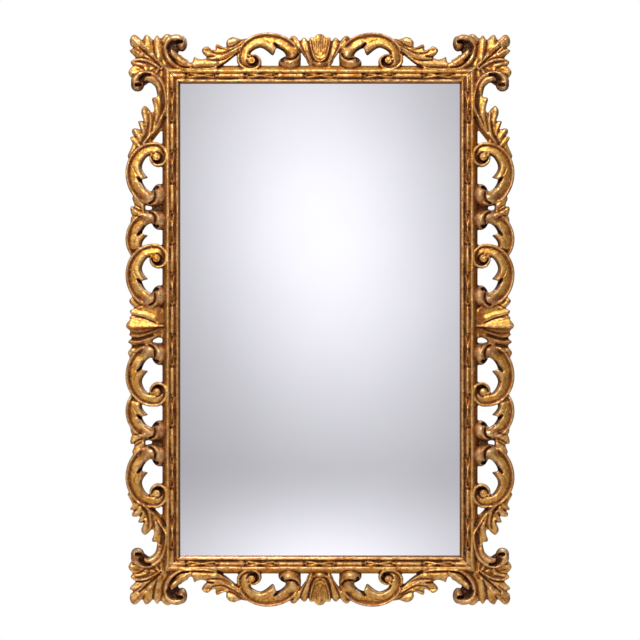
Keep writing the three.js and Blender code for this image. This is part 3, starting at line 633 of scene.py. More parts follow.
CORNER_RIBS = [
    ([(0, -2), (6, 6), (13, 14), (21, 23), (29, 32), (36, 39)], 5, -3.4),
    ([(37, 34), (45, 43), (52, 50)], 10, -3.2), ([(23, 30), (26, 40), (27.5, 50)], 8.5, -3),
    ([(6, 14), (8, 28), (8.5, 42), (9, 50)], 8, -3.4), ([(-3, 44), (-8, 52)], 6.5, -2.8),
    ([(38, 20), (47, 25.6), (54, 27)], 6.5, -2.6),
    ([(2, -6.4), (9, -1.4), (18, 4.2), (28, 8.6), (39, 10.6), (49, 9.8), (55, 7)], 3, -4.8),
    ([(30, -8), (42, -12), (52, -13.4), (58, -12)], 5.5, -2.8),
    ([(30, 0), (42, 3), (52, 4)], 4, -1.6),
]
CORNER_CUTS = [
    ([(2, -3.6), (8, 3.6), (15, 9.8), (24, 17), (33, 25.4), (41.6, 33)], 2.2, 8),
    ([(8.6, 11), (11.6, 17), (14, 27), (15.6, 37), (16.6, 46.6)], 2.2, 8),
    ([(-1.4, 36), (1.2, 42), (2.6, 49)], 1.8, 4.5),
    ([(36, 47), (32.4, 40.6), (29.4, 36)], 1.8, 3.6),
    ([(48, 13.4), (38, 14.2), (28, 12.6), (20, 9.4)], 2, 5),
    ([(52, 0), (43, -1.4), (36, -5), (31, -9)], 2, 4),
    ([(47, 6), (38, 4.6), (29, 1.6), (22, -3)], 1.8, 2.4),
    ([(52, 31.6), (44.6, 27.6), (37, 22)], 1.8, 5), ([(21, 20), (27, 29), (32, 37)], 1.4, 1.4),
    ([(9, 49), (7.4, 38), (5.4, 27)], 1.3, 1.6), ([(50, 51), (43, 43.6), (36.6, 35.6)], 1.4, 1.6),
    ([(28, 52), (26, 43), (24.6, 37)], 1.2, 1.2), ([(56, -17), (46, -16.6), (36, -13)], 1.6, 2.4),
    ([(55, 25.4), (47, 22), (40, 17.6)], 1.4, 1.8),
]
# The leaf's stalk runs on between the hook and the moulding's corner
CORNER_STALK = [
    (-3, 6), (4, 6), (14, 0), (22, -6), (27, -12), (17, -17), (9, -24), (4, -34), (-1, -37),
    (-3, -20),
]
STALK_DRAWING = [
    ([(1.6, 0), (4.6, -9), (5.6, -21)], 1.5, 4), ([(4, 1.6), (11, -5), (20, -10)], 1.5, 3.4),
    ([(3, 0), (8, -8), (12, -15)], 2.6, -1.8),
]
CORNER_HEIGHT, STALK_HEIGHT = 20.5, 20.0


def carve_corner_leaf(whole, place):
    """place takes (past the stile, past the rail, height)."""
    slab(whole, place, CORNER_OUTLINE, CORNER_HEIGHT)
    slab(whole, place, CORNER_STALK, STALK_HEIGHT)
    press_drawing(place, CORNER_RIBS + CORNER_CUTS + STALK_DRAWING)


# %% [markdown]
# The shells sit in the middle of each rail. The one on the top rail stands upright: a fluted
# panel inside a thin bright outline, with two curled leaves on either side. The ones on the
# stiles lie on their sides, so their two halves differ: the upper half is two broad planes that
# catch the light, and the lower half is folded under.

# %% Shells
# Top shell, right half: (along the rail, up past it)
PANEL_OUTLINE = [
    (0, 57), (5, 56), (8.5, 52.6), (10.6, 49.4), (14, 50.8), (18, 50), (19.6, 46.6), (18.2, 36),
    (15, 22), (9.4, 9.6), (0, 5),
]
PANEL_DRAWING = [
    ([(18.6, 47), (16.8, 36), (13.6, 22), (8, 11), (0, 7.4)], 1.9, -3.4),
    ([(2.2, 53), (1.8, 34), (1.2, 16)], 1.5, 2.6), ([(6.6, 50), (5.6, 34), (3.8, 17)], 1.5, 2.6),
    ([(11, 48), (9.4, 34), (6.4, 19)], 1.5, 2.6), ([(15.2, 47), (13, 34), (9.6, 21)], 1.4, 2.4),
    ([(0, 55), (0, 44)], 3, -1.4), ([(21, 46), (19.4, 34), (16, 20), (11, 8)], 2.2, 6),
]
INNER_LEAF = [
    (9, 3), (14, 16), (18, 30), (21.6, 44), (27.4, 50.8), (31, 49.6), (34.2, 46), (32, 38),
    (29, 28), (26, 16), (21, 3),
]
SHELL_FILL = [
    (-1, 4), (17, 2), (25, 13), (32, 25), (38, 37), (36, 43.4), (30, 42), (25, 43), (20.6, 44),
    (16, 44), (-1, 44),
]
OUTER_LEAF = [
    (13, 0), (19, 12), (25, 25), (31, 36), (36, 44), (42, 51), (46, 53.8), (50.4, 53.4), (53.4, 50),
    (50, 46), (45, 40), (39, 32), (34, 25), (30, 19), (23, 9), (18.6, 0),
]
SHELL_LEAF_DRAWING = [
    ([(18, 8), (23.4, 26), (28.6, 46)], 6.5, -2.6), ([(24, 12), (35, 32), (46, 50)], 8, -2.8),
    ([(20, 6), (27.4, 22), (33, 34), (36, 43.6)], 2, 8), ([(50, 50), (45, 46), (39, 38)], 1.6, 2.4),
    ([(30, 47), (27, 38), (24, 28)], 1.3, 1.6),
]
SHELL_SLABS = [(SHELL_FILL, 18.5), (OUTER_LEAF, 19.0), (INNER_LEAF, 18.0)]
# The whole panel and its foot, with the boss at the bottom of the flutes
SHELL_PANEL = PANEL_OUTLINE + [(-w, u) for w, u in PANEL_OUTLINE[-2:0:-1]]
SHELL_FOOT = [(-17, -5), (-17, 4), (-12, 12), (12, 12), (17, 4), (17, -5)]
SHELL_BOSS = (0, 2.5, 16, 8.5)
PANEL_HEIGHT, FOOT_HEIGHT, BOSS_HEIGHT = 22.0, 16.0, 22.5

# Side shell: (past the stile, along it from the shell's middle, upwards)
SIDE_SHELL = [
    (48, 60), (55, 50), (59.6, 45), (58.6, 40), (53.4, 34), (50.4, 30.6), (54, 28.6), (58.6, 26),
    (57.6, 22), (55.2, 19), (56, 16.6), (59.6, 14.6), (59, 12), (57.8, 10), (62, 6), (65, 1.4),
    (65.6, -2), (63, -6), (59, -9), (58, -13), (60, -17), (55.4, -21), (56, -24), (60, -28),
    (61.6, -31), (57.4, -34), (55, -37), (58, -43), (62, -50), (56, -60), (44, -58), (34, -50),
    (25, -38), (18.4, -31), (17, -27), (8, -22.4), (-4, -19), (-4, 24), (8, 36), (22, 44), (36, 50),
]
SIDE_SHELL_DRAWING = [
    ([(56, 46), (50, 38), (44, 33)], 5, -2.4), ([(56, 24), (44, 21), (30, 18), (16, 12)], 7, -2),
    ([(60, -18.4), (46, -21), (32, -17.6), (18, -12.6), (8, -9)], 2.2, -3.6),
    ([(60, -30), (48, -31), (38, -29)], 5, -2.6), ([(59, -47), (49, -46), (40, -41)], 6.5, -3),
    ([(55.6, 18.8), (42, 15.4), (30, 12), (20, 7.6), (11, 3.6)], 1.7, 6),
    ([(50.6, 30.8), (44, 33), (37, 37)], 1.9, 5), ([(57, 12), (46, 9), (38, 8)], 1.3, 1.8),
    ([(60, -13.6), (44, -15), (28, -12.6), (12, -8)], 2.6, 6),
    ([(58, -23), (46, -25.6), (34, -23), (18, -18)], 5, 7),
    ([(57, -37.6), (46, -38.4), (34, -35)], 5, 8), ([(57, -30), (48, -34), (40, -34)], 1.4, 2),
    ([(60, -47), (51, -50), (43, -50)], 1.8, 3),
]
# Its panel is a low roof: distance past the stile, then the upper eave, the ridge and the lower
# eave along it
PANEL_ROOF = [
    (65, 0.4, -2.2, -4.4), (61.5, 5.6, -2.6, -7.4), (57, 12, -3.2, -11.4), (42, 13.6, -3.8, -13),
    (28, 10.4, -3.8, -11), (14, 4.6, -3, -7), (2, 1.4, -2.2, -4.2), (-3, 0.6, -2, -3.6),
]
SIDE_SHELL_HEIGHT, EAVE_HIGH, RIDGE_HIGH, EAVE_LOW = 19.0, 22.6, 26.5, 14.0
EASED_DOWN, EASED_IN, EASED_LOW = 1, 0.8, 0.4          # the eaves' edges


def carve_top_shell(whole, place):
    for side in (1, -1):
        def at(w, u, h, side=side):
            return place(u, side * w, h)

        for outline, height in SHELL_SLABS:
            slab(whole, at, outline, height)
        press_drawing(at, SHELL_LEAF_DRAWING + PANEL_DRAWING)

    def upright(w, u, h):
        return place(u, w, h)

    slab(whole, upright, SHELL_PANEL, PANEL_HEIGHT)
    slab(whole, upright, SHELL_FOOT, FOOT_HEIGHT)
    egg(whole, upright, SHELL_BOSS, BOSS_HEIGHT)


def carve_side_shell(whole, place):
    slab(whole, place, SIDE_SHELL, SIDE_SHELL_HEIGHT)
    wrap_grid(whole, [[place(u, upper, 0), place(u, upper, EAVE_HIGH - EASED_DOWN),
                       place(u, upper - EASED_IN, EAVE_HIGH), place(u, ridge, RIDGE_HIGH),
                       place(u, lower + EASED_LOW, EAVE_LOW), place(u, lower, 0)]
                      for u, upper, ridge, lower in PANEL_ROOF])
    press_drawing(place, SIDE_SHELL_DRAWING)


print("corner leaf strokes:", len(CORNER_RIBS + CORNER_CUTS))
print("side shell strokes:", len(SIDE_SHELL_DRAWING))

# %% [markdown]
# The moulding is planed, not carved: one section runs the whole length of the rail. Its small
# rounds were scraped by hand, so the section wanders by a few tenths of a millimetre. In its
# channel lies the bead, a string of rounded sticks with a crossed ribbon between each two.

# %% Moulding and bead
# Distance from the sight edge, and height above the frame's back
MOULDING_SECTION = [
    (0, 4.7), (0, 8), (1.4, 11.5), (2.4, 15.5), (2.9, 18.4), (3.8, 20.2), (4.9, 20.8), (6, 20.2),
    (6.9, 18.4), (7.4, 16.4), (8.2, 15.6), (9.6, 15.4), (17.6, 15.4), (18.4, 16.4), (18.8, 20.6),
    (19.4, 23.2), (20.4, 24.2), (21.6, 24.6), (22.8, 24.3), (23.8, 23.4), (25, 22.2), (27, 20.4),
    (29.8, 17.4), (32, 13.6), (32, 0), (6, 0), (6, 4.7),
]
MOULDING_STATION = 6                # between two sections
# The hand's wandering, as sine waves: size, radians for each millimetre, and start
SWAY, LIFT = [(0.25, 0.051, 1.3), (0.18, 0.123, 0.0)], [(0.2, 0.083, 0.4)]
SWAYS, LIFTED = (3, 26), 12         # the part of the section that sways, and what is lifted
STICK, BEAD_AT = 50.0, 13.8
WOBBLE, WOBBLE_RATE = 0.6, 2.7      # of the sticks' middles
# A stick: place along it, width and height
STICK_SHAPE = [(-25, 7.8, 19.5), (-22, 9.0, 21.6), (0, 9.6, 22.6), (22, 9.0, 21.6),
               (25, 7.8, 19.5)]
# A knop beyond each end of a stick: how far past it, then its shape, height and foot
KNOP_PAST, KNOP_HALF, KNOP_HEIGHT, KNOP_LOW = 2.8, (4.0, 2.4), 20.4, 8.0
# A ribbon: place across, share of its half length and distance past that, width and height
RIBBON_SHAPE = [(-2.8, -1, -1, 5.6, 18.0), (-1.9, -0.5, 0, 5.0, 20.4), (0, 0, 0, 5.4, 22.8),
                (1.9, 0.5, 0, 5.0, 20.4), (2.8, 1, 1, 5.6, 18.0)]
RIBBON_MARGIN = 4.5                 # from the stick's end
CROSSING = 0.3                      # one ribbon passes over the other


def wander(w, waves):
    return sum(size * math.sin(w * rate + start) for size, rate, start in waves)


def carve_moulding(whole, place, half_length):
    """place takes u from the moulding's outer edge, so the sight edge is at -MOULDING."""
    count = int(2 * half_length / MOULDING_STATION)
    rings = []
    for i in range(count + 1):
        w = lerp(-half_length, half_length, i / count)
        sway, lift = wander(w, SWAY), wander(w, LIFT)
        rings.append([place(s - MOULDING + (sway if SWAYS[0] < s < SWAYS[1] else 0), w,
                            h + (lift if LIFTED < h else 0)) for s, h in MOULDING_SECTION])
    wrap_grid(whole, rings)


def carve_bead(whole, place, half_length, periods):
    period = 2 * half_length / periods
    half_ribbon = (period - STICK) / 2 - RIBBON_MARGIN
    middle = BEAD_AT - MOULDING
    for i in range(periods + 1):
        at = -half_length + i * period
        wobble = WOBBLE * math.sin(WOBBLE_RATE * i)
        finger(whole, place, [(middle, at + along + (0 if along else wobble), width, height)
                              for along, width, height in STICK_SHAPE],
               count=18, section="round", tip=0.08)
        for past in (-STICK / 2 - KNOP_PAST, STICK / 2 + KNOP_PAST):
            egg(whole, place, (middle, at + past, *KNOP_HALF), KNOP_HEIGHT, KNOP_LOW)
        if i == periods:
            continue
        centre = at + period / 2
        for lean in (1, -1):
            finger(whole, place, [
                (middle + lean * across, centre + share * half_ribbon + past, width,
                 height + (0 if across else CROSSING * lean))
                for across, share, past, width, height in RIBBON_SHAPE],
                count=18, section="ridge", tip=0.05)


# %% [markdown]
# Between the short scroll and the far scroll a sprig of two small leaves rises from the lower
# scroll's shoulder. It ties the two scrolls together, as on many frames of this kind. Low webs of
# wood fill the places that the carver didn't pierce; painted shade makes them dark.

# %% Sprigs and webs
SPRIG = [
    (28, 192), (44, 186), (56, 184), (56.8, 193), (54.4, 197), (56.4, 202), (57.6, 210),
    (55.6, 214.6), (51.4, 213), (50.2, 217), (52.4, 223), (54, 229), (49, 235), (38, 238),
    (30, 236), (31, 224), (30.6, 206),
]
SPRIG_DRAWING = [
    ([(34, 198), (45, 203), (55, 210)], 6.5, -3.4), ([(34, 214), (43, 221), (51, 229)], 6.5, -3.4),
    ([(51.6, 213), (45, 208), (37, 205)], 2, 6), ([(50, 217.4), (43, 213.6), (37, 210)], 1.6, 3),
    ([(54.4, 197), (46, 196.4), (38, 194)], 1.7, 4),
    ([(54, 206), (46, 201), (40, 198.6)], 1.2, 1.6),
    ([(50, 226), (44, 219.6), (38, 216)], 1.2, 1.6),
]
SCROLL_WEBS = [
    [(-4, 188), (8, 186), (19, 192), (18.8, 210), (20, 222), (14, 238), (-4, 238)],
    [(8, 218.4), (24, 218.8), (40, 217.4), (42, 232), (8, 234)],
    [(8, 190), (36, 190), (40, 208.6), (26, 207.8), (8, 209)],
]
SHELL_WEBS = {1: [(-4, 14), (16, 18), (30, 30), (26, 46), (-4, 48)],
              -1: [(-4, 33), (17, 31.6), (30, 36), (26, 48), (-4, 48)]}
SPRIG_HEIGHT, WEB_HEIGHT, SHELL_WEB_HEIGHT = 20.0, 11.0, 12.0


def carve_sprig(whole, place):
    """place takes (past the stile, along it from the shell's middle, height)."""
    slab(whole, place, SPRIG, SPRIG_HEIGHT)
    press_drawing(place, SPRIG_DRAWING)
    for outline in SCROLL_WEBS:
        slab(whole, place, outline, WEB_HEIGHT)


# %% [markdown]
# Now the two drawings are carved, the left stile and the top rail. Each is a heap of closed
# bodies that pass through each other, as clay is laid on in lumps.

# %% Lay out the left stile and the top rail
SIDE_HALF, TOP_HALF = CORNER[1], CORNER[0]
SIDE_OVERRUN, TOP_OVERRUN = 50, 55  # of the moulding, before it is sawn to the mitre
SIDE_PERIODS, TOP_PERIODS = 8, 5    # of the bead
SIDE_REACH, TOP_REACH = 66.5, 59.8
# Scrolls: where their w starts, and their length
NEAR_SCROLL, SHORT_SCROLL, FAR_SCROLL = (146.0, 115.0), (106.1, 102.0), (328.9, 115.0)
TOP_SCROLL = (149.1, 115.0)
TOP_WEAR = 0.3
LEAF_BEND = 60.0                    # the lower run is shorter and squeezes its leaf past this
LOWER_SQUEEZE = 0.80


def lay_out_stile():
    whole = bmesh.new()
    carve_moulding(whole, left_run, SIDE_HALF + SIDE_OVERRUN)
    carve_bead(whole, left_run, SIGHT[1] + BEAD_AT, SIDE_PERIODS)
    shell_run = run_on(left_run, -SHELL_DROP)
    carve_side_shell(whole, shell_run)
    for turn in (1, -1):
        half = run_on(shell_run, 0, turn)

        def scroll(start, length, way=-1, **more):
            carve_scroll(whole, run_on(half, start, way), length, SIDE_REACH, SIDE_THORN, **more)

        def corner(a, b, h, t=turn):
            return left_run(a, SIDE_HALF * t + t * b, h)

        def squeezed(a, b, h, at=corner, t=turn):
            beyond = min(0.0, b + LEAF_BEND)
            return at(a, b if t > 0 else b - beyond + beyond * LOWER_SQUEEZE, h)

        slab(whole, half, SHELL_WEBS[turn], SHELL_WEB_HEIGHT)
        scroll(*NEAR_SCROLL)
        scroll(*SHORT_SCROLL, way=1, coil=False)
        carve_sprig(whole, half)
        scroll(*FAR_SCROLL)
        carve_leaf_scroll(whole, squeezed, SIDE_LEAF)
        carve_corner_leaf(whole, corner)
    return whole


def lay_out_rail():
    whole = bmesh.new()
    carve_moulding(whole, top_run, TOP_HALF + TOP_OVERRUN)
    carve_bead(whole, top_run, SIGHT[0] + BEAD_AT, TOP_PERIODS)
    carve_top_shell(whole, top_run)
    for turn in (1, -1):
        start, length = TOP_SCROLL
        carve_scroll(whole, run_on(top_run, turn * start, -turn), length, TOP_REACH, TOP_THORN,
                     TOP_WEAR)

        def corner(a, b, h, t=turn):
            return top_run(b, TOP_HALF * t + t * a, h)

        carve_leaf_scroll(whole, corner, TOP_LEAF)
        carve_corner_leaf(whole, corner)
    return whole


# %% [markdown]
# The heap becomes one body: Blender's voxel remesh wraps a single closed skin round it. Its
# small cells also round every edge a little, as the layers of gesso under real leaf do. The
# gouge strokes are pressed in, the surface gets the slight waviness of hand work, and the mesh
# is thinned where it is flat. Last, the ends are sawn off along the mitres.

# %% One carved skin
CELL = 1.25 * MM
WOOD_BACK = -BACK * MM
CUT_ABOVE, RAISE_ABOVE = 2 * MM, 10 * MM   # past a cut's floor, and from the frame's back
# Hand work: seed, size and depth of the waves, which fade in over the first 12 mm of height
RIPPLES = [(11, 16 * MM, 0.16 * MM), (12, 5 * MM, 0.07 * MM)]
WAVES, WAVE_RANGE, RIPPLE_FADE = 14, (0.7, 1.5), 12 * MM
STROKE_FALL = 1.5                   # how pointed a stroke's section is
SOFTEN_SKIN, SOFTEN_CUTS = 0.5, 0.35
HIGHEST = (KNOB + 0.3) * MM


def apply_modifiers(obj):
    """Makes the modifiers' result the object's own mesh."""
    graph = bpy.context.evaluated_depsgraph_get()
    result = bpy.data.meshes.new_from_object(obj.evaluated_get(graph))
    old = obj.data
    obj.modifiers.clear()
    obj.data = result
    bpy.data.meshes.remove(old)


def read_vectors(mesh, what):
    """The vertices' places ("co") or directions ("normal") as rows of x, y, z."""
    values = np.empty(len(mesh.vertices) * 3, np.float32)
    mesh.vertices.foreach_get(what, values)
    return values.reshape(-1, 3).astype(float)


def near_path(flat, path, radius):
    """Which of the flat points lie near the path, and how near: 1 on it, 0 at the radius."""
    path = np.array(path)
    low, high = path.min(0) - radius, path.max(0) + radius
    index = np.nonzero(np.all((flat > low) & (flat < high), axis=1))[0]
    inside = flat[index]
    nearest = np.full(len(index), np.inf)
    for a, b in zip(path, path[1:]):
        span = b - a
        share = np.clip(((inside - a) @ span) / max(span @ span, 1e-12), 0, 1)
        nearest = np.minimum(nearest, np.linalg.norm(inside - a - share[:, None] * span, axis=1))
    return index, np.clip(1 - (nearest / radius) ** 2, 0, 1)


def press_strokes(points, cuts):
    flat = points[:, [0, 2]]
    for path, radius, depth, floor in cuts:
        index, fall = near_path(flat, path, radius)
        height = WOOD_BACK - points[index, 1]
        moved = height - depth * fall ** STROKE_FALL
        if depth > 0:
            new = np.minimum(height, np.maximum(moved, floor))
            reached = height > floor + CUT_ABOVE
        else:
            new = np.minimum(moved, KNOB * MM)
            reached = height > RAISE_ABOVE
        points[index, 1] = WOOD_BACK - np.where(reached, new, height)


def waviness(points, seed, size):
    """A soft pattern of crossing waves with wavelengths near the given size."""
    rng = np.random.default_rng(seed)
    total = np.zeros(len(points))
    for _ in range(WAVES):
        direction = rng.normal(size=3)
        direction *= 2 * math.pi / (size * rng.uniform(*WAVE_RANGE) * np.linalg.norm(direction))
        total += np.sin(points @ direction + rng.uniform(0, 2 * math.pi))
    return total / math.sqrt(WAVES)


def neighbours(mesh):
    edges = np.empty(len(mesh.edges) * 2, np.int32)
    mesh.edges.foreach_get("vertices", edges)
    return edges.reshape(-1, 2).T


def smoothed(values, ends, rounds, strength=1.0):
    """Each vertex moves towards the mean of its neighbours, some rounds over."""
    a, b = ends
    count = len(values)
    degree = np.maximum(np.bincount(a, minlength=count) + np.bincount(b, minlength=count), 1)
    out = values.copy()
    for _ in range(rounds):
        mean = [(np.bincount(a, column[b], count) + np.bincount(b, column[a], count)) / degree
                for column in out.T]
        out += strength * (np.stack(mean, axis=1) - out)
    return out


def one_skin(lay_out, name):
    """Lays out one drawing, wraps it in a skin and presses in the strokes that it added."""
    first = len(strokes)
    whole = lay_out()
    mesh = bpy.data.meshes.new(name)
    whole.to_mesh(mesh)
    whole.free()
    obj = bpy.data.objects.new(name, mesh)
    scene.collection.objects.link(obj)
    remesh = obj.modifiers.new("skin", "REMESH")
    remesh.mode = "VOXEL"
    remesh.voxel_size = CELL
    remesh.use_smooth_shade = True
    apply_modifiers(obj)
    ends = neighbours(obj.data)
    points = smoothed(read_vectors(obj.data, "co"), ends, 1, SOFTEN_SKIN)
    press_strokes(points, strokes[first:])
    points = smoothed(points, ends, 1, SOFTEN_CUTS)
    front = np.clip((WOOD_BACK - points[:, 1]) / RIPPLE_FADE, 0, 1)
    for seed, size, depth in RIPPLES:
        points[:, 1] += front * depth * waviness(points, seed, size)
    points[:, 1] = np.clip(points[:, 1], WOOD_BACK - HIGHEST, WOOD_BACK)
    obj.data.vertices.foreach_set("co", points.astype(np.float32).ravel())
    obj.data.update()
    print(name, "skin vertices:", len(points), "strokes:", len(strokes) - first)
    return obj


left_stile = one_skin(lay_out_stile, "carved_left_stile")
top_rail = one_skin(lay_out_rail, "carved_top_rail")

# %% Thin the mesh and saw the mitres
STILE_TRIANGLES, RAIL_SHARE = 176000, 0.66


def triangle_count(mesh):
    return sum(len(p.vertices) - 2 for p in mesh.polygons)


def thin(obj, triangles):
    faces = triangle_count(obj.data)
    if faces > triangles:
        decimate = obj.modifiers.new("thin", "DECIMATE")
        decimate.ratio = triangles / faces
        apply_modifiers(obj)
    print(obj.name, "triangles:", triangle_count(obj.data))


def saw(obj, cuts):
    """Cuts by planes (a point, and the direction that falls away) and fills each cut."""
    body = bmesh.new()
    body.from_mesh(obj.data)
    for point, away in cuts:
        cut = bmesh.ops.bisect_plane(
            body, geom=body.verts[:] + body.edges[:] + body.faces[:], dist=WELD,
            plane_co=Vector(point) * MM, plane_no=away, clear_outer=True)
        edges = [e for e in cut["geom_cut"] if isinstance(e, bmesh.types.BMEdge)]
        bmesh.ops.holes_fill(body, edges=edges, sides=0)
    bmesh.ops.triangulate(body, faces=[f for f in body.faces if len(f.verts) > 4])
    bmesh.ops.recalc_face_normals(body, faces=body.faces)
    body.to_mesh(obj.data)
    body.free()


trim = MITRE_GAP / 2 * math.sqrt(2)
thin(left_stile, STILE_TRIANGLES)
thin(top_rail, int(STILE_TRIANGLES * RAIL_SHARE))
saw(left_stile, [((-SIGHT[0], 0, side * (SIGHT[1] - trim)), (1, 0, side)) for side in (1, -1)])
saw(top_rail, [((side * (SIGHT[0] - trim), 0, SIGHT[1]), (side, 0, -1)) for side in (-1, 1)])

# %% [markdown]
# The right stile and the bottom rail are the same drawings turned over, which is how a carver
# keeps a frame symmetrical. A mirrored mesh is inside out, so its faces are reversed.

# %% The other two rails


def turned_over(obj, name, turn):
    """A copy scaled by turn, in which one number is -1."""
    mesh = obj.data.copy()
    body = bmesh.new()
    body.from_mesh(mesh)
    bmesh.ops.scale(body, vec=turn, verts=body.verts)
    bmesh.ops.reverse_faces(body, faces=body.faces)
    body.to_mesh(mesh)
    body.free()
    copy = bpy.data.objects.new(name, mesh)
    scene.collection.objects.link(copy)
    return copy


right_stile = turned_over(left_stile, "carved_right_stile", (-1.0, 1.0, 1.0))
bottom_rail = turned_over(top_rail, "carved_bottom_rail", (1.0, 1.0, -1.0))
rails = [(left_stile, "left_stile", (1, 1)), (right_stile, "right_stile", (-1, 1)),
         (top_rail, "top_rail", (1, 1)), (bottom_rail, "bottom_rail", (1, -1))]
print("rails:", [obj.name for obj, _, _ in rails])

# %% [markdown]
# Leaf on wood wears and takes toning by form: hollows keep dirt and dark size, edges lose their
# gold. The same numbers also paint light: shade in hollows, creases and undersides, and a
# highlight on sharp edges. So each rail gets three numbers at every vertex: how deep it lies in a
# hollow, with painted shade laid on by place added in, how sharp an edge it is on, and how much it
# was burnished. They come from comparing the surface with smoothed copies of itself.

# %% Hollows with painted shade, edges and burnish at each vertex
NEAR_ROUNDS, WIDE_ROUNDS = 4, 40
FULL_HOLLOW, FULL_EDGE = (0.9, 3.6), (0.8, 6.0)        # mm from the near and the wide copy
RUB_SPREAD, RUB_HEIGHTS = 1.6, (12 * MM, 22 * MM)
ANYWHERE = 1000.0
# Painted shade along the moulding: from and to past the sight edge, heights from and to, how
# dark, and whether only on the stiles. The band at the glass is a painted shadow line, and the
# stiles' own bands make them darker than the rails, because their faces turn away from the light
# above.
MOULDING_SHADE_BANDS = [
    (-ANYWHERE, 2.2, -ANYWHERE, ANYWHERE, 0.62, False), (6.8, 18.8, -ANYWHERE, 17.0, 0.5, False),
    (9.0, 18.0, 17.0, 20.6, 0.34, True), (24.6, MOULDING + 0.2, -ANYWHERE, 22.0, 0.42, True),
]
# Painted shade round the side shell: the fold below its middle, and its stalk beside the moulding
FOLD_STARTS, FOLD_ENDS, FOLD_SHADE = (3.4, 5.4), (42.0, 36.0), 0.34
STALK_OUT, STALK_STARTS, STALK_ENDS = (MOULDING + 17, MOULDING + 8), (5, 9), (44, 36)
STALK_SHADE = 0.42
# Painted shade on all that lies low, such as the webs: the heights where it starts and is full, and
# how dark
LOW_HEIGHTS, LOW_SHADE = (15.0, 11.0), 0.85


def add_attribute(mesh, name, values):
    layer = mesh.attributes.new(name, "FLOAT", "POINT")
    layer.data.foreach_set("value", values.astype(np.float32))


def rise(values, start, end):
    """0 before the start and 1 past the end, or the other way round if the end comes first."""
    return np.clip((values - start) / (end - start), 0, 1)


def painted_shade_by_place(points):
    """Painted shade laid on by place: along the moulding, in the side shell's folded lower
    half and round its stalk, and on all that lies low."""
    past_side = np.abs(points[:, 0]) / MM - SIGHT[0]
    past_top = np.abs(points[:, 2]) / MM - SIGHT[1]
    out = np.maximum(past_side, past_top)
    height = (WOOD_BACK - points[:, 1]) / MM
    # stain holds painted shade here, band by band along the moulding
    stain = np.zeros(len(points))
    for start, end, low, high, tone, on_stiles in MOULDING_SHADE_BANDS:
        here = (out > start) & (out < end) & (height > low) & (height < high)
        stain[here & ((past_side > past_top) | (not on_stiles))] = tone
    # Painted shade on the side shell's lower half, folded under away from the light above, and
    # round its stalk
    below = -points[:, 2] / MM - SHELL_DROP
    past_moulding = past_side > MOULDING + 1
    folded = rise(below, *FOLD_STARTS) * rise(below, *FOLD_ENDS) * past_moulding
    aside = np.abs(below)
    stalk = rise(out, *STALK_OUT) * rise(aside, *STALK_STARTS) * rise(aside, *STALK_ENDS)
    # Painted shade on all that lies low
    low_down = rise(height, *LOW_HEIGHTS) * (out > MOULDING - 1)
    return np.maximum.reduce([stain, FOLD_SHADE * folded, STALK_SHADE * stalk * past_moulding,
                              LOW_SHADE * low_down])


def age(obj, flip):
    """flip turns the rail's plan back onto the side that the burnish paths were drawn on."""
    mesh = obj.data
    points, normals = read_vectors(mesh, "co"), read_vectors(mesh, "normal")
    ends = neighbours(mesh)
    fine, broad = (np.einsum("ij,ij->i", smoothed(points, ends, rounds) - points, normals) / MM
                   for rounds in (NEAR_ROUNDS, WIDE_ROUNDS))
    hollow = np.clip(fine / FULL_HOLLOW[0] + broad / FULL_HOLLOW[1], 0, 1)
    hollow = smoothed(hollow[:, None], ends, 1)[:, 0]
    # The hollow number also takes the painted shade laid on by place
    hollow = np.maximum(hollow, painted_shade_by_place(points))
    edge = np.clip(-fine / FULL_EDGE[0] - broad / FULL_EDGE[1], 0, 1)
    flat = points[:, [0, 2]] * np.array(flip)
    worn = np.zeros(len(points))
    for path, radius, weight in burnishes:
        index, fall = near_path(flat, path, radius)
        worn[index] = np.maximum(worn[index], weight * np.clip(fall * RUB_SPREAD, 0, 1))
    worn *= rise(WOOD_BACK - points[:, 1], *RUB_HEIGHTS)
    ages = {"hollow": hollow, "edge": edge, "burnish": worn}
    for name, values in ages.items():
        add_attribute(mesh, name, values)
    print(obj.name, "mean", {name: round(float(v.mean()), 3) for name, v in ages.items()})


for obj, _, flip in rails:
    age(obj, flip)

# %% [markdown]
# Water-gilded lime or pine: gold leaf on red clay over white gesso. The leaf is real metal, so
# it is a metallic surface with a warm sheen. It is thin, so red clay shows where it is rubbed.
# The toning is a brown glaze of size and dust that stayed in the hollows, and it is not metal.
# The brown in hollows, creases and undersides is partly that toning and partly painted shade,
# from ambient occlusion and the hollow number; the cream on sharp edges is partly worn gesso and
# partly a painted highlight.

# %% Gilding
LEAF_BRIGHT, LEAF_MID, LEAF_DEEP = "#F2BF5A", "#D8983F", "#945524"
# The umber and the dark brown colour the toning in hollows together with painted shade; the dark
# brown also colours the fly specks
CLAY_RED, UMBER_TONING_AND_SHADE, TONING_AND_SHADE = "#8E3F20", "#8C4F1E", "#3A1A0A"
# The cream is gesso showing through the leaf, and on sharp edges also a painted highlight
BURNISHED, CREAM_GESSO_AND_HIGHLIGHT, BARE_WOOD = "#BE8A68", "#F8D29A", "#6B4A2C"
PATCH_SIZE, MOTTLE_SIZE, SPECK_SIZE = 26, 7, 2.8       # millimetres
SHADE_REACH = 11 * MM
WOOD_FROM, GILT_FROM = -4.6 * MM, -6.0 * MM            # the back of the frame isn't gilded


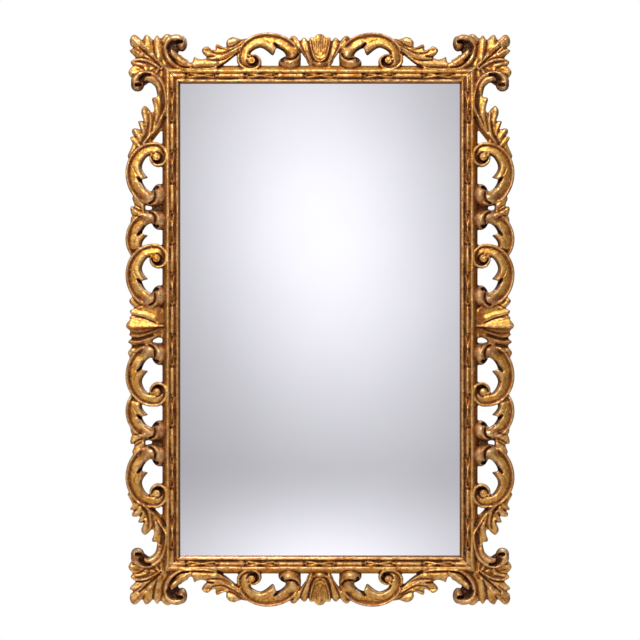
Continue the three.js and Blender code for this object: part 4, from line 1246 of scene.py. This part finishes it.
def gilding(name):
    material, tree = new_finish(name)
    ramp, place = tree.ramp, tree.place()

    def tint(factor, under, hex_code):
        return tree.mix(factor, under, linear(hex_code))

    def times(a, b):
        return tree.maths("MULTIPLY", a, b, clamp=True)

    def highest(a, b):
        return tree.maths("MAXIMUM", a, b, clamp=True)

    # hollow brings in the toning of the hollows together with painted shade
    hollow, edge, worn = (tree.attribute(kind) for kind in ("hollow", "edge", "burnish"))
    # Broad differences from leaf to leaf, rubbed and whole leaf, then pinholes and fly specks
    patches = tree.noise(place, 1000 / PATCH_SIZE, 3, Roughness=0.6)
    mottle = tree.noise(place, 1000 / MOTTLE_SIZE, 5, Roughness=0.65)
    specks = tree.noise(place, 1000 / SPECK_SIZE, 3, Roughness=0.7)

    leaf = tint(ramp(patches, 0.36, 0.66), linear(LEAF_MID), LEAF_BRIGHT)
    leaf = tint(ramp(mottle, 0.48, 0.62, 0.0, 0.6), leaf, LEAF_DEEP)
    leaf = tint(times(worn, ramp(mottle, 0.3, 0.6, 1.0, 0.5)), leaf, BURNISHED)
    # Cream along sharp edges: partly worn gesso, partly a painted highlight on the rims
    leaf = tint(times(ramp(edge, 0.2, 0.75, 0.0, 0.8), ramp(patches, 0.32, 0.52)), leaf, CREAM_GESSO_AND_HIGHLIGHT)
    clay = times(times(ramp(edge, 0.25, 0.9), ramp(mottle, 0.44, 0.58)), 0.6)
    leaf = tint(clay, leaf, CLAY_RED)

    # Painted shade: ambient occlusion and the hollow number make depth, which darkens recesses,
    # creases and undersides as well as holding the real toning
    shade = tree.add("ShaderNodeAmbientOcclusion", {"samples": 8},
                     Distance=SHADE_REACH).outputs["AO"]
    depth = highest(ramp(hollow, 0.14, 0.85), ramp(shade, 0.72, 0.15))
    depth = times(depth, ramp(mottle, 0.25, 0.6, 1.05, 0.8))
    dots = ramp(specks, 0.59, 0.655, 0.0, 0.78)
    # Umber, then dark brown, laid on by depth: toning and painted shade
    toned_and_shaded = tint(ramp(depth, 0.04, 0.34, 0.0, 0.95), leaf, UMBER_TONING_AND_SHADE)
    toned_and_shaded = tint(ramp(depth, 0.42, 0.9), toned_and_shaded, TONING_AND_SHADE)
    toned_and_shaded = tint(dots, toned_and_shaded, TONING_AND_SHADE)
    toned_and_shaded = tint(ramp(specks, 0.395, 0.33, 0.0, 0.6), toned_and_shaded, CREAM_GESSO_AND_HIGHLIGHT)
    back = tree.add("ShaderNodeSeparateXYZ", Vector=place).outputs["Y"]
    behind = ramp(back, GILT_FROM, WOOD_FROM)

    dull = highest(highest(ramp(depth, 0.1, 0.7), dots), highest(clay, behind))
    rough = tree.maths("ADD", ramp(dull, 0.0, 1.0, 0.41, 0.6),
                       ramp(mottle, 0.35, 0.65, -0.04, 0.10))
    relief = tree.bump(specks, 0.5, 0.4, Normal=tree.bump(mottle, 0.45, 0.7))
    tree.surface(Base_Color=tint(behind, toned_and_shaded, BARE_WOOD),
                 Metallic=ramp(dull, 0.0, 1.0, 0.92, 0.4), Roughness=rough, Normal=relief,
                 Specular_IOR_Level=0.25, Coat_Weight=0.15, Coat_Roughness=0.32)
    return material


gilt = gilding("water_gilding_on_red_clay")
for obj, node, _ in rails:
    set_finish(obj, gilt)
    for polygon in obj.data.polygons:
        polygon.use_smooth = True
    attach(obj, "root")
    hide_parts(node)
print("gilded:", [node for _, node, _ in rails])

# %% [markdown]
# The glass is float-flat plate with silver behind it. A silvered plate returns nearly all the
# light, so it is a metal surface with next to no roughness and a slightly cool grey tint.

# %% Silvered glass


def silvered_glass():
    material, tree = new_finish("silvered_plate_glass")
    haze = tree.noise(tree.place(), 9.0, 2.0)
    tree.surface(Base_Color=tree.mix(haze, linear("#EEEFF2"), linear("#F4F5F7")), Metallic=1.0,
                 Roughness=0.012)
    return material


set_finish(nodes["mirror_glass"], silvered_glass())

# %% [markdown]
# The board is thin stained softwood. Its grain runs up the frame: long streaks a few millimetres
# wide, drawn by stretching a noise along Z.

# %% Stained backing board
GRAIN = (160.0, 160.0, 6.0)


def stained_board():
    material, tree = new_finish("stained_softwood_board")
    place = tree.place()
    along = tree.add("ShaderNodeMapping", Vector=place, Scale=GRAIN).outputs[0]
    grain = tree.noise(along, 1.0, 6.0, Roughness=0.65, Distortion=0.6)
    wood = tree.mix(grain, linear("#5E4028"), linear("#A17D55"))
    stain = tree.ramp(tree.noise(place, 7.0, 4.0), 0.4, 0.7, 0.0, 0.5)
    tree.surface(Base_Color=tree.mix(stain, wood, linear("#4A321F")), Roughness=0.72,
                 Normal=tree.bump(grain, 0.3, 0.3))
    return material


set_finish(nodes["backing_board"], stained_board())

# %% [markdown]
# Plates and screws are zinc-plated steel that has dulled: grey metal, half rough, with darker
# blotches.

# %% Dulled steel


def dulled_steel():
    material, tree = new_finish("zinc_plated_steel")
    blotch = tree.noise(tree.place(), 260.0, 4.0)
    tree.surface(Base_Color=tree.mix(blotch, linear("#75716A"), linear("#C3BFB6")), Metallic=1.0,
                 Roughness=tree.ramp(blotch, 0.0, 1.0, 0.5, 0.3))
    return material


steel = dulled_steel()
fixings = [name for name in nodes if "screw" in name or "hanger" in name]
for name in fixings:
    set_finish(nodes[name], steel)
print("steel pieces:", len(fixings))

# %% [markdown]
# The room: a pale floor well below the mirror, soft lights above, in front and at the left, a
# large dim one behind, and a white surround. What the glass and the gold reflect is a grey
# studio that is bright above and darker below, and that is what gives the carving its shape.

# %% Floor, surround and lights
FLOOR_SIZE, FLOOR_AT = (4.0, 3.4, 1.0), (0, -0.3, -0.75)
# The studio's tones from straight down (0) to straight up (1)
STUDIO = [(0.0, "#241F1C"), (1.0, "#FFFFFF"), (0.36, "#241E1A"), (0.45, "#3C3631"),
          (0.50, "#746E68"), (0.56, "#A09B95"), (0.67, "#CECAC4"), (0.8, "#F4F1EC")]
STUDIO_LEVEL = 0.5
PANEL_COLOUR, PANEL_AHEAD, PANEL_EDGE = "#FBF9FF", -0.5, (1.5, 1.1)
GLOW_AT, GLOW_SPREAD = (0.008, 0.16), (0.175, 0.265)   # metres across the glass
GLOW_LEAN = -0.10                    # it leans to the right as it goes down
SCREEN_LEVEL, GLOW_LEVEL, FOOT_LEVEL = 0.455, 0.72, 0.70
FOOT_FROM, FOOT_TO, FOOT_EVEN = -0.25, -0.47, 0.15     # the foot is brighter in the middle
LIGHTS = [                          # place, aim, size, watts, colour
    ("key_above", (-0.35, -1.15, 1.9), (0, 0, 0.1), (1.4, 0.6), 19, "#FFF6EC"),
    ("front_high", (-0.5, -2.4, 1.2), (0, 0, 0), (0.9, 0.5), 36, "#FFF8EE"),
    ("back_fill", (0.5, 2.6, 1.3), (0, 0, 0), (1.8, 1.4), 18, "#FFF9F2"),
    ("fill_left", (-2.4, -1.8, 0.3), (0, 0, 0), (1.0, 1.6), 5, "#FFF9F2"),
]


def studio_surround():
    """White behind the frame. Lights and reflections come from a grey studio with a glowing
    panel behind the photographer, which the glass shows as a soft bright patch."""
    world = bpy.data.worlds.new("studio")
    scene.world = world
    world.use_nodes = True
    tree = NodeTree(world.node_tree)
    maths = tree.maths
    way = tree.add("ShaderNodeTexCoord").outputs["Generated"]
    split = tree.add("ShaderNodeSeparateXYZ", Vector=way)
    x, y, z = (split.outputs[axis] for axis in "XYZ")

    tones = tree.add("ShaderNodeValToRGB", Fac=tree.ramp(z, -1.0, 1.0))
    stops = tones.color_ramp.elements
    for i, (position, hex_code) in enumerate(STUDIO):
        stop = stops[i] if i < 2 else stops.new(position)
        stop.position, stop.color = position, linear(hex_code)

    # Where the camera's mirrored line of sight goes, in metres across and above the glass
    away = maths("MULTIPLY", y, -1.0)
    across, above = (maths("MULTIPLY", maths("DIVIDE", axis, away), CAMERA_DISTANCE)
                     for axis in (x, z))

    def square(value, centre, spread):
        return maths("POWER", maths("DIVIDE", maths("SUBTRACT", value, centre), spread), 2.0)

    def bell(squares):
        return maths("EXPONENT", maths("MULTIPLY", squares, -0.5))

    lean = maths("MULTIPLY", maths("SUBTRACT", above, GLOW_AT[1]), GLOW_LEAN)
    side = square(maths("SUBTRACT", across, lean), GLOW_AT[0], GLOW_SPREAD[0])
    glow = bell(maths("ADD", side, square(above, GLOW_AT[1], GLOW_SPREAD[1])))
    foot = tree.ramp(above, FOOT_FROM, FOOT_TO, 0.0, FOOT_LEVEL, "SMOOTHSTEP")
    fade = maths("MULTIPLY", bell(square(across, GLOW_AT[0], GLOW_SPREAD[0])), 1 - FOOT_EVEN)
    foot = maths("MULTIPLY", foot, maths("ADD", fade, FOOT_EVEN))
    light = maths("ADD", maths("MULTIPLY", glow, GLOW_LEVEL), maths("ADD", foot, SCREEN_LEVEL))

    wide = maths("MAXIMUM", *(maths("DIVIDE", maths("ABSOLUTE", value), half * MM)
                              for value, half in ((across, SIGHT[0]), (above, SIGHT[1]))))
    screen = maths("MULTIPLY", maths("LESS_THAN", y, PANEL_AHEAD),
                   tree.ramp(wide, *PANEL_EDGE, 0.0, 1.0, "SMOOTHSTEP"))

    def glowing(colour, strength):
        return tree.add("ShaderNodeBackground", Color=colour, Strength=strength).outputs[0]

    def either(share, a, b):
        return tree.add("ShaderNodeMixShader", i0=share, i1=a, i2=b).outputs[0]

    room = either(screen, glowing(tones.outputs[0], STUDIO_LEVEL),
                  glowing(linear(PANEL_COLOUR), light))
    seen = tree.add("ShaderNodeLightPath").outputs["Is Camera Ray"]
    tree.add("ShaderNodeOutputWorld", i0=either(seen, room, glowing((1, 1, 1, 1), 1.0)))


def soft_light(name, place, aim, size, watts, hex_code):
    data = bpy.data.lights.new(name, "AREA")
    data.shape = "RECTANGLE"
    data.size, data.size_y = size
    data.energy = watts
    data.color = linear(hex_code)[:3]
    lamp = bpy.data.objects.new(name, data)
    lamp.location = place
    lamp.rotation_euler = (Vector(aim) - Vector(place)).to_track_quat("-Z", "Y").to_euler()
    scene.collection.objects.link(lamp)


def pale_floor():
    plate = bmesh.new()
    bmesh.ops.create_grid(plate, x_segments=1, y_segments=1, size=0.5)
    bmesh.ops.scale(plate, vec=FLOOR_SIZE, verts=plate.verts)
    bmesh.ops.translate(plate, vec=FLOOR_AT, verts=plate.verts)
    mesh = bpy.data.meshes.new("pale_floor")
    plate.to_mesh(mesh)
    plate.free()
    floor = bpy.data.objects.new("pale_floor", mesh)
    scene.collection.objects.link(floor)
    material, tree = new_finish("pale_floor_paint")
    tree.surface(Base_Color=linear("#DEDDDA"), Roughness=0.8)
    set_finish(floor, material)


studio_surround()
pale_floor()
for light in LIGHTS:
    soft_light(*light)

# %% The last line
bpy.context.view_layer.update()
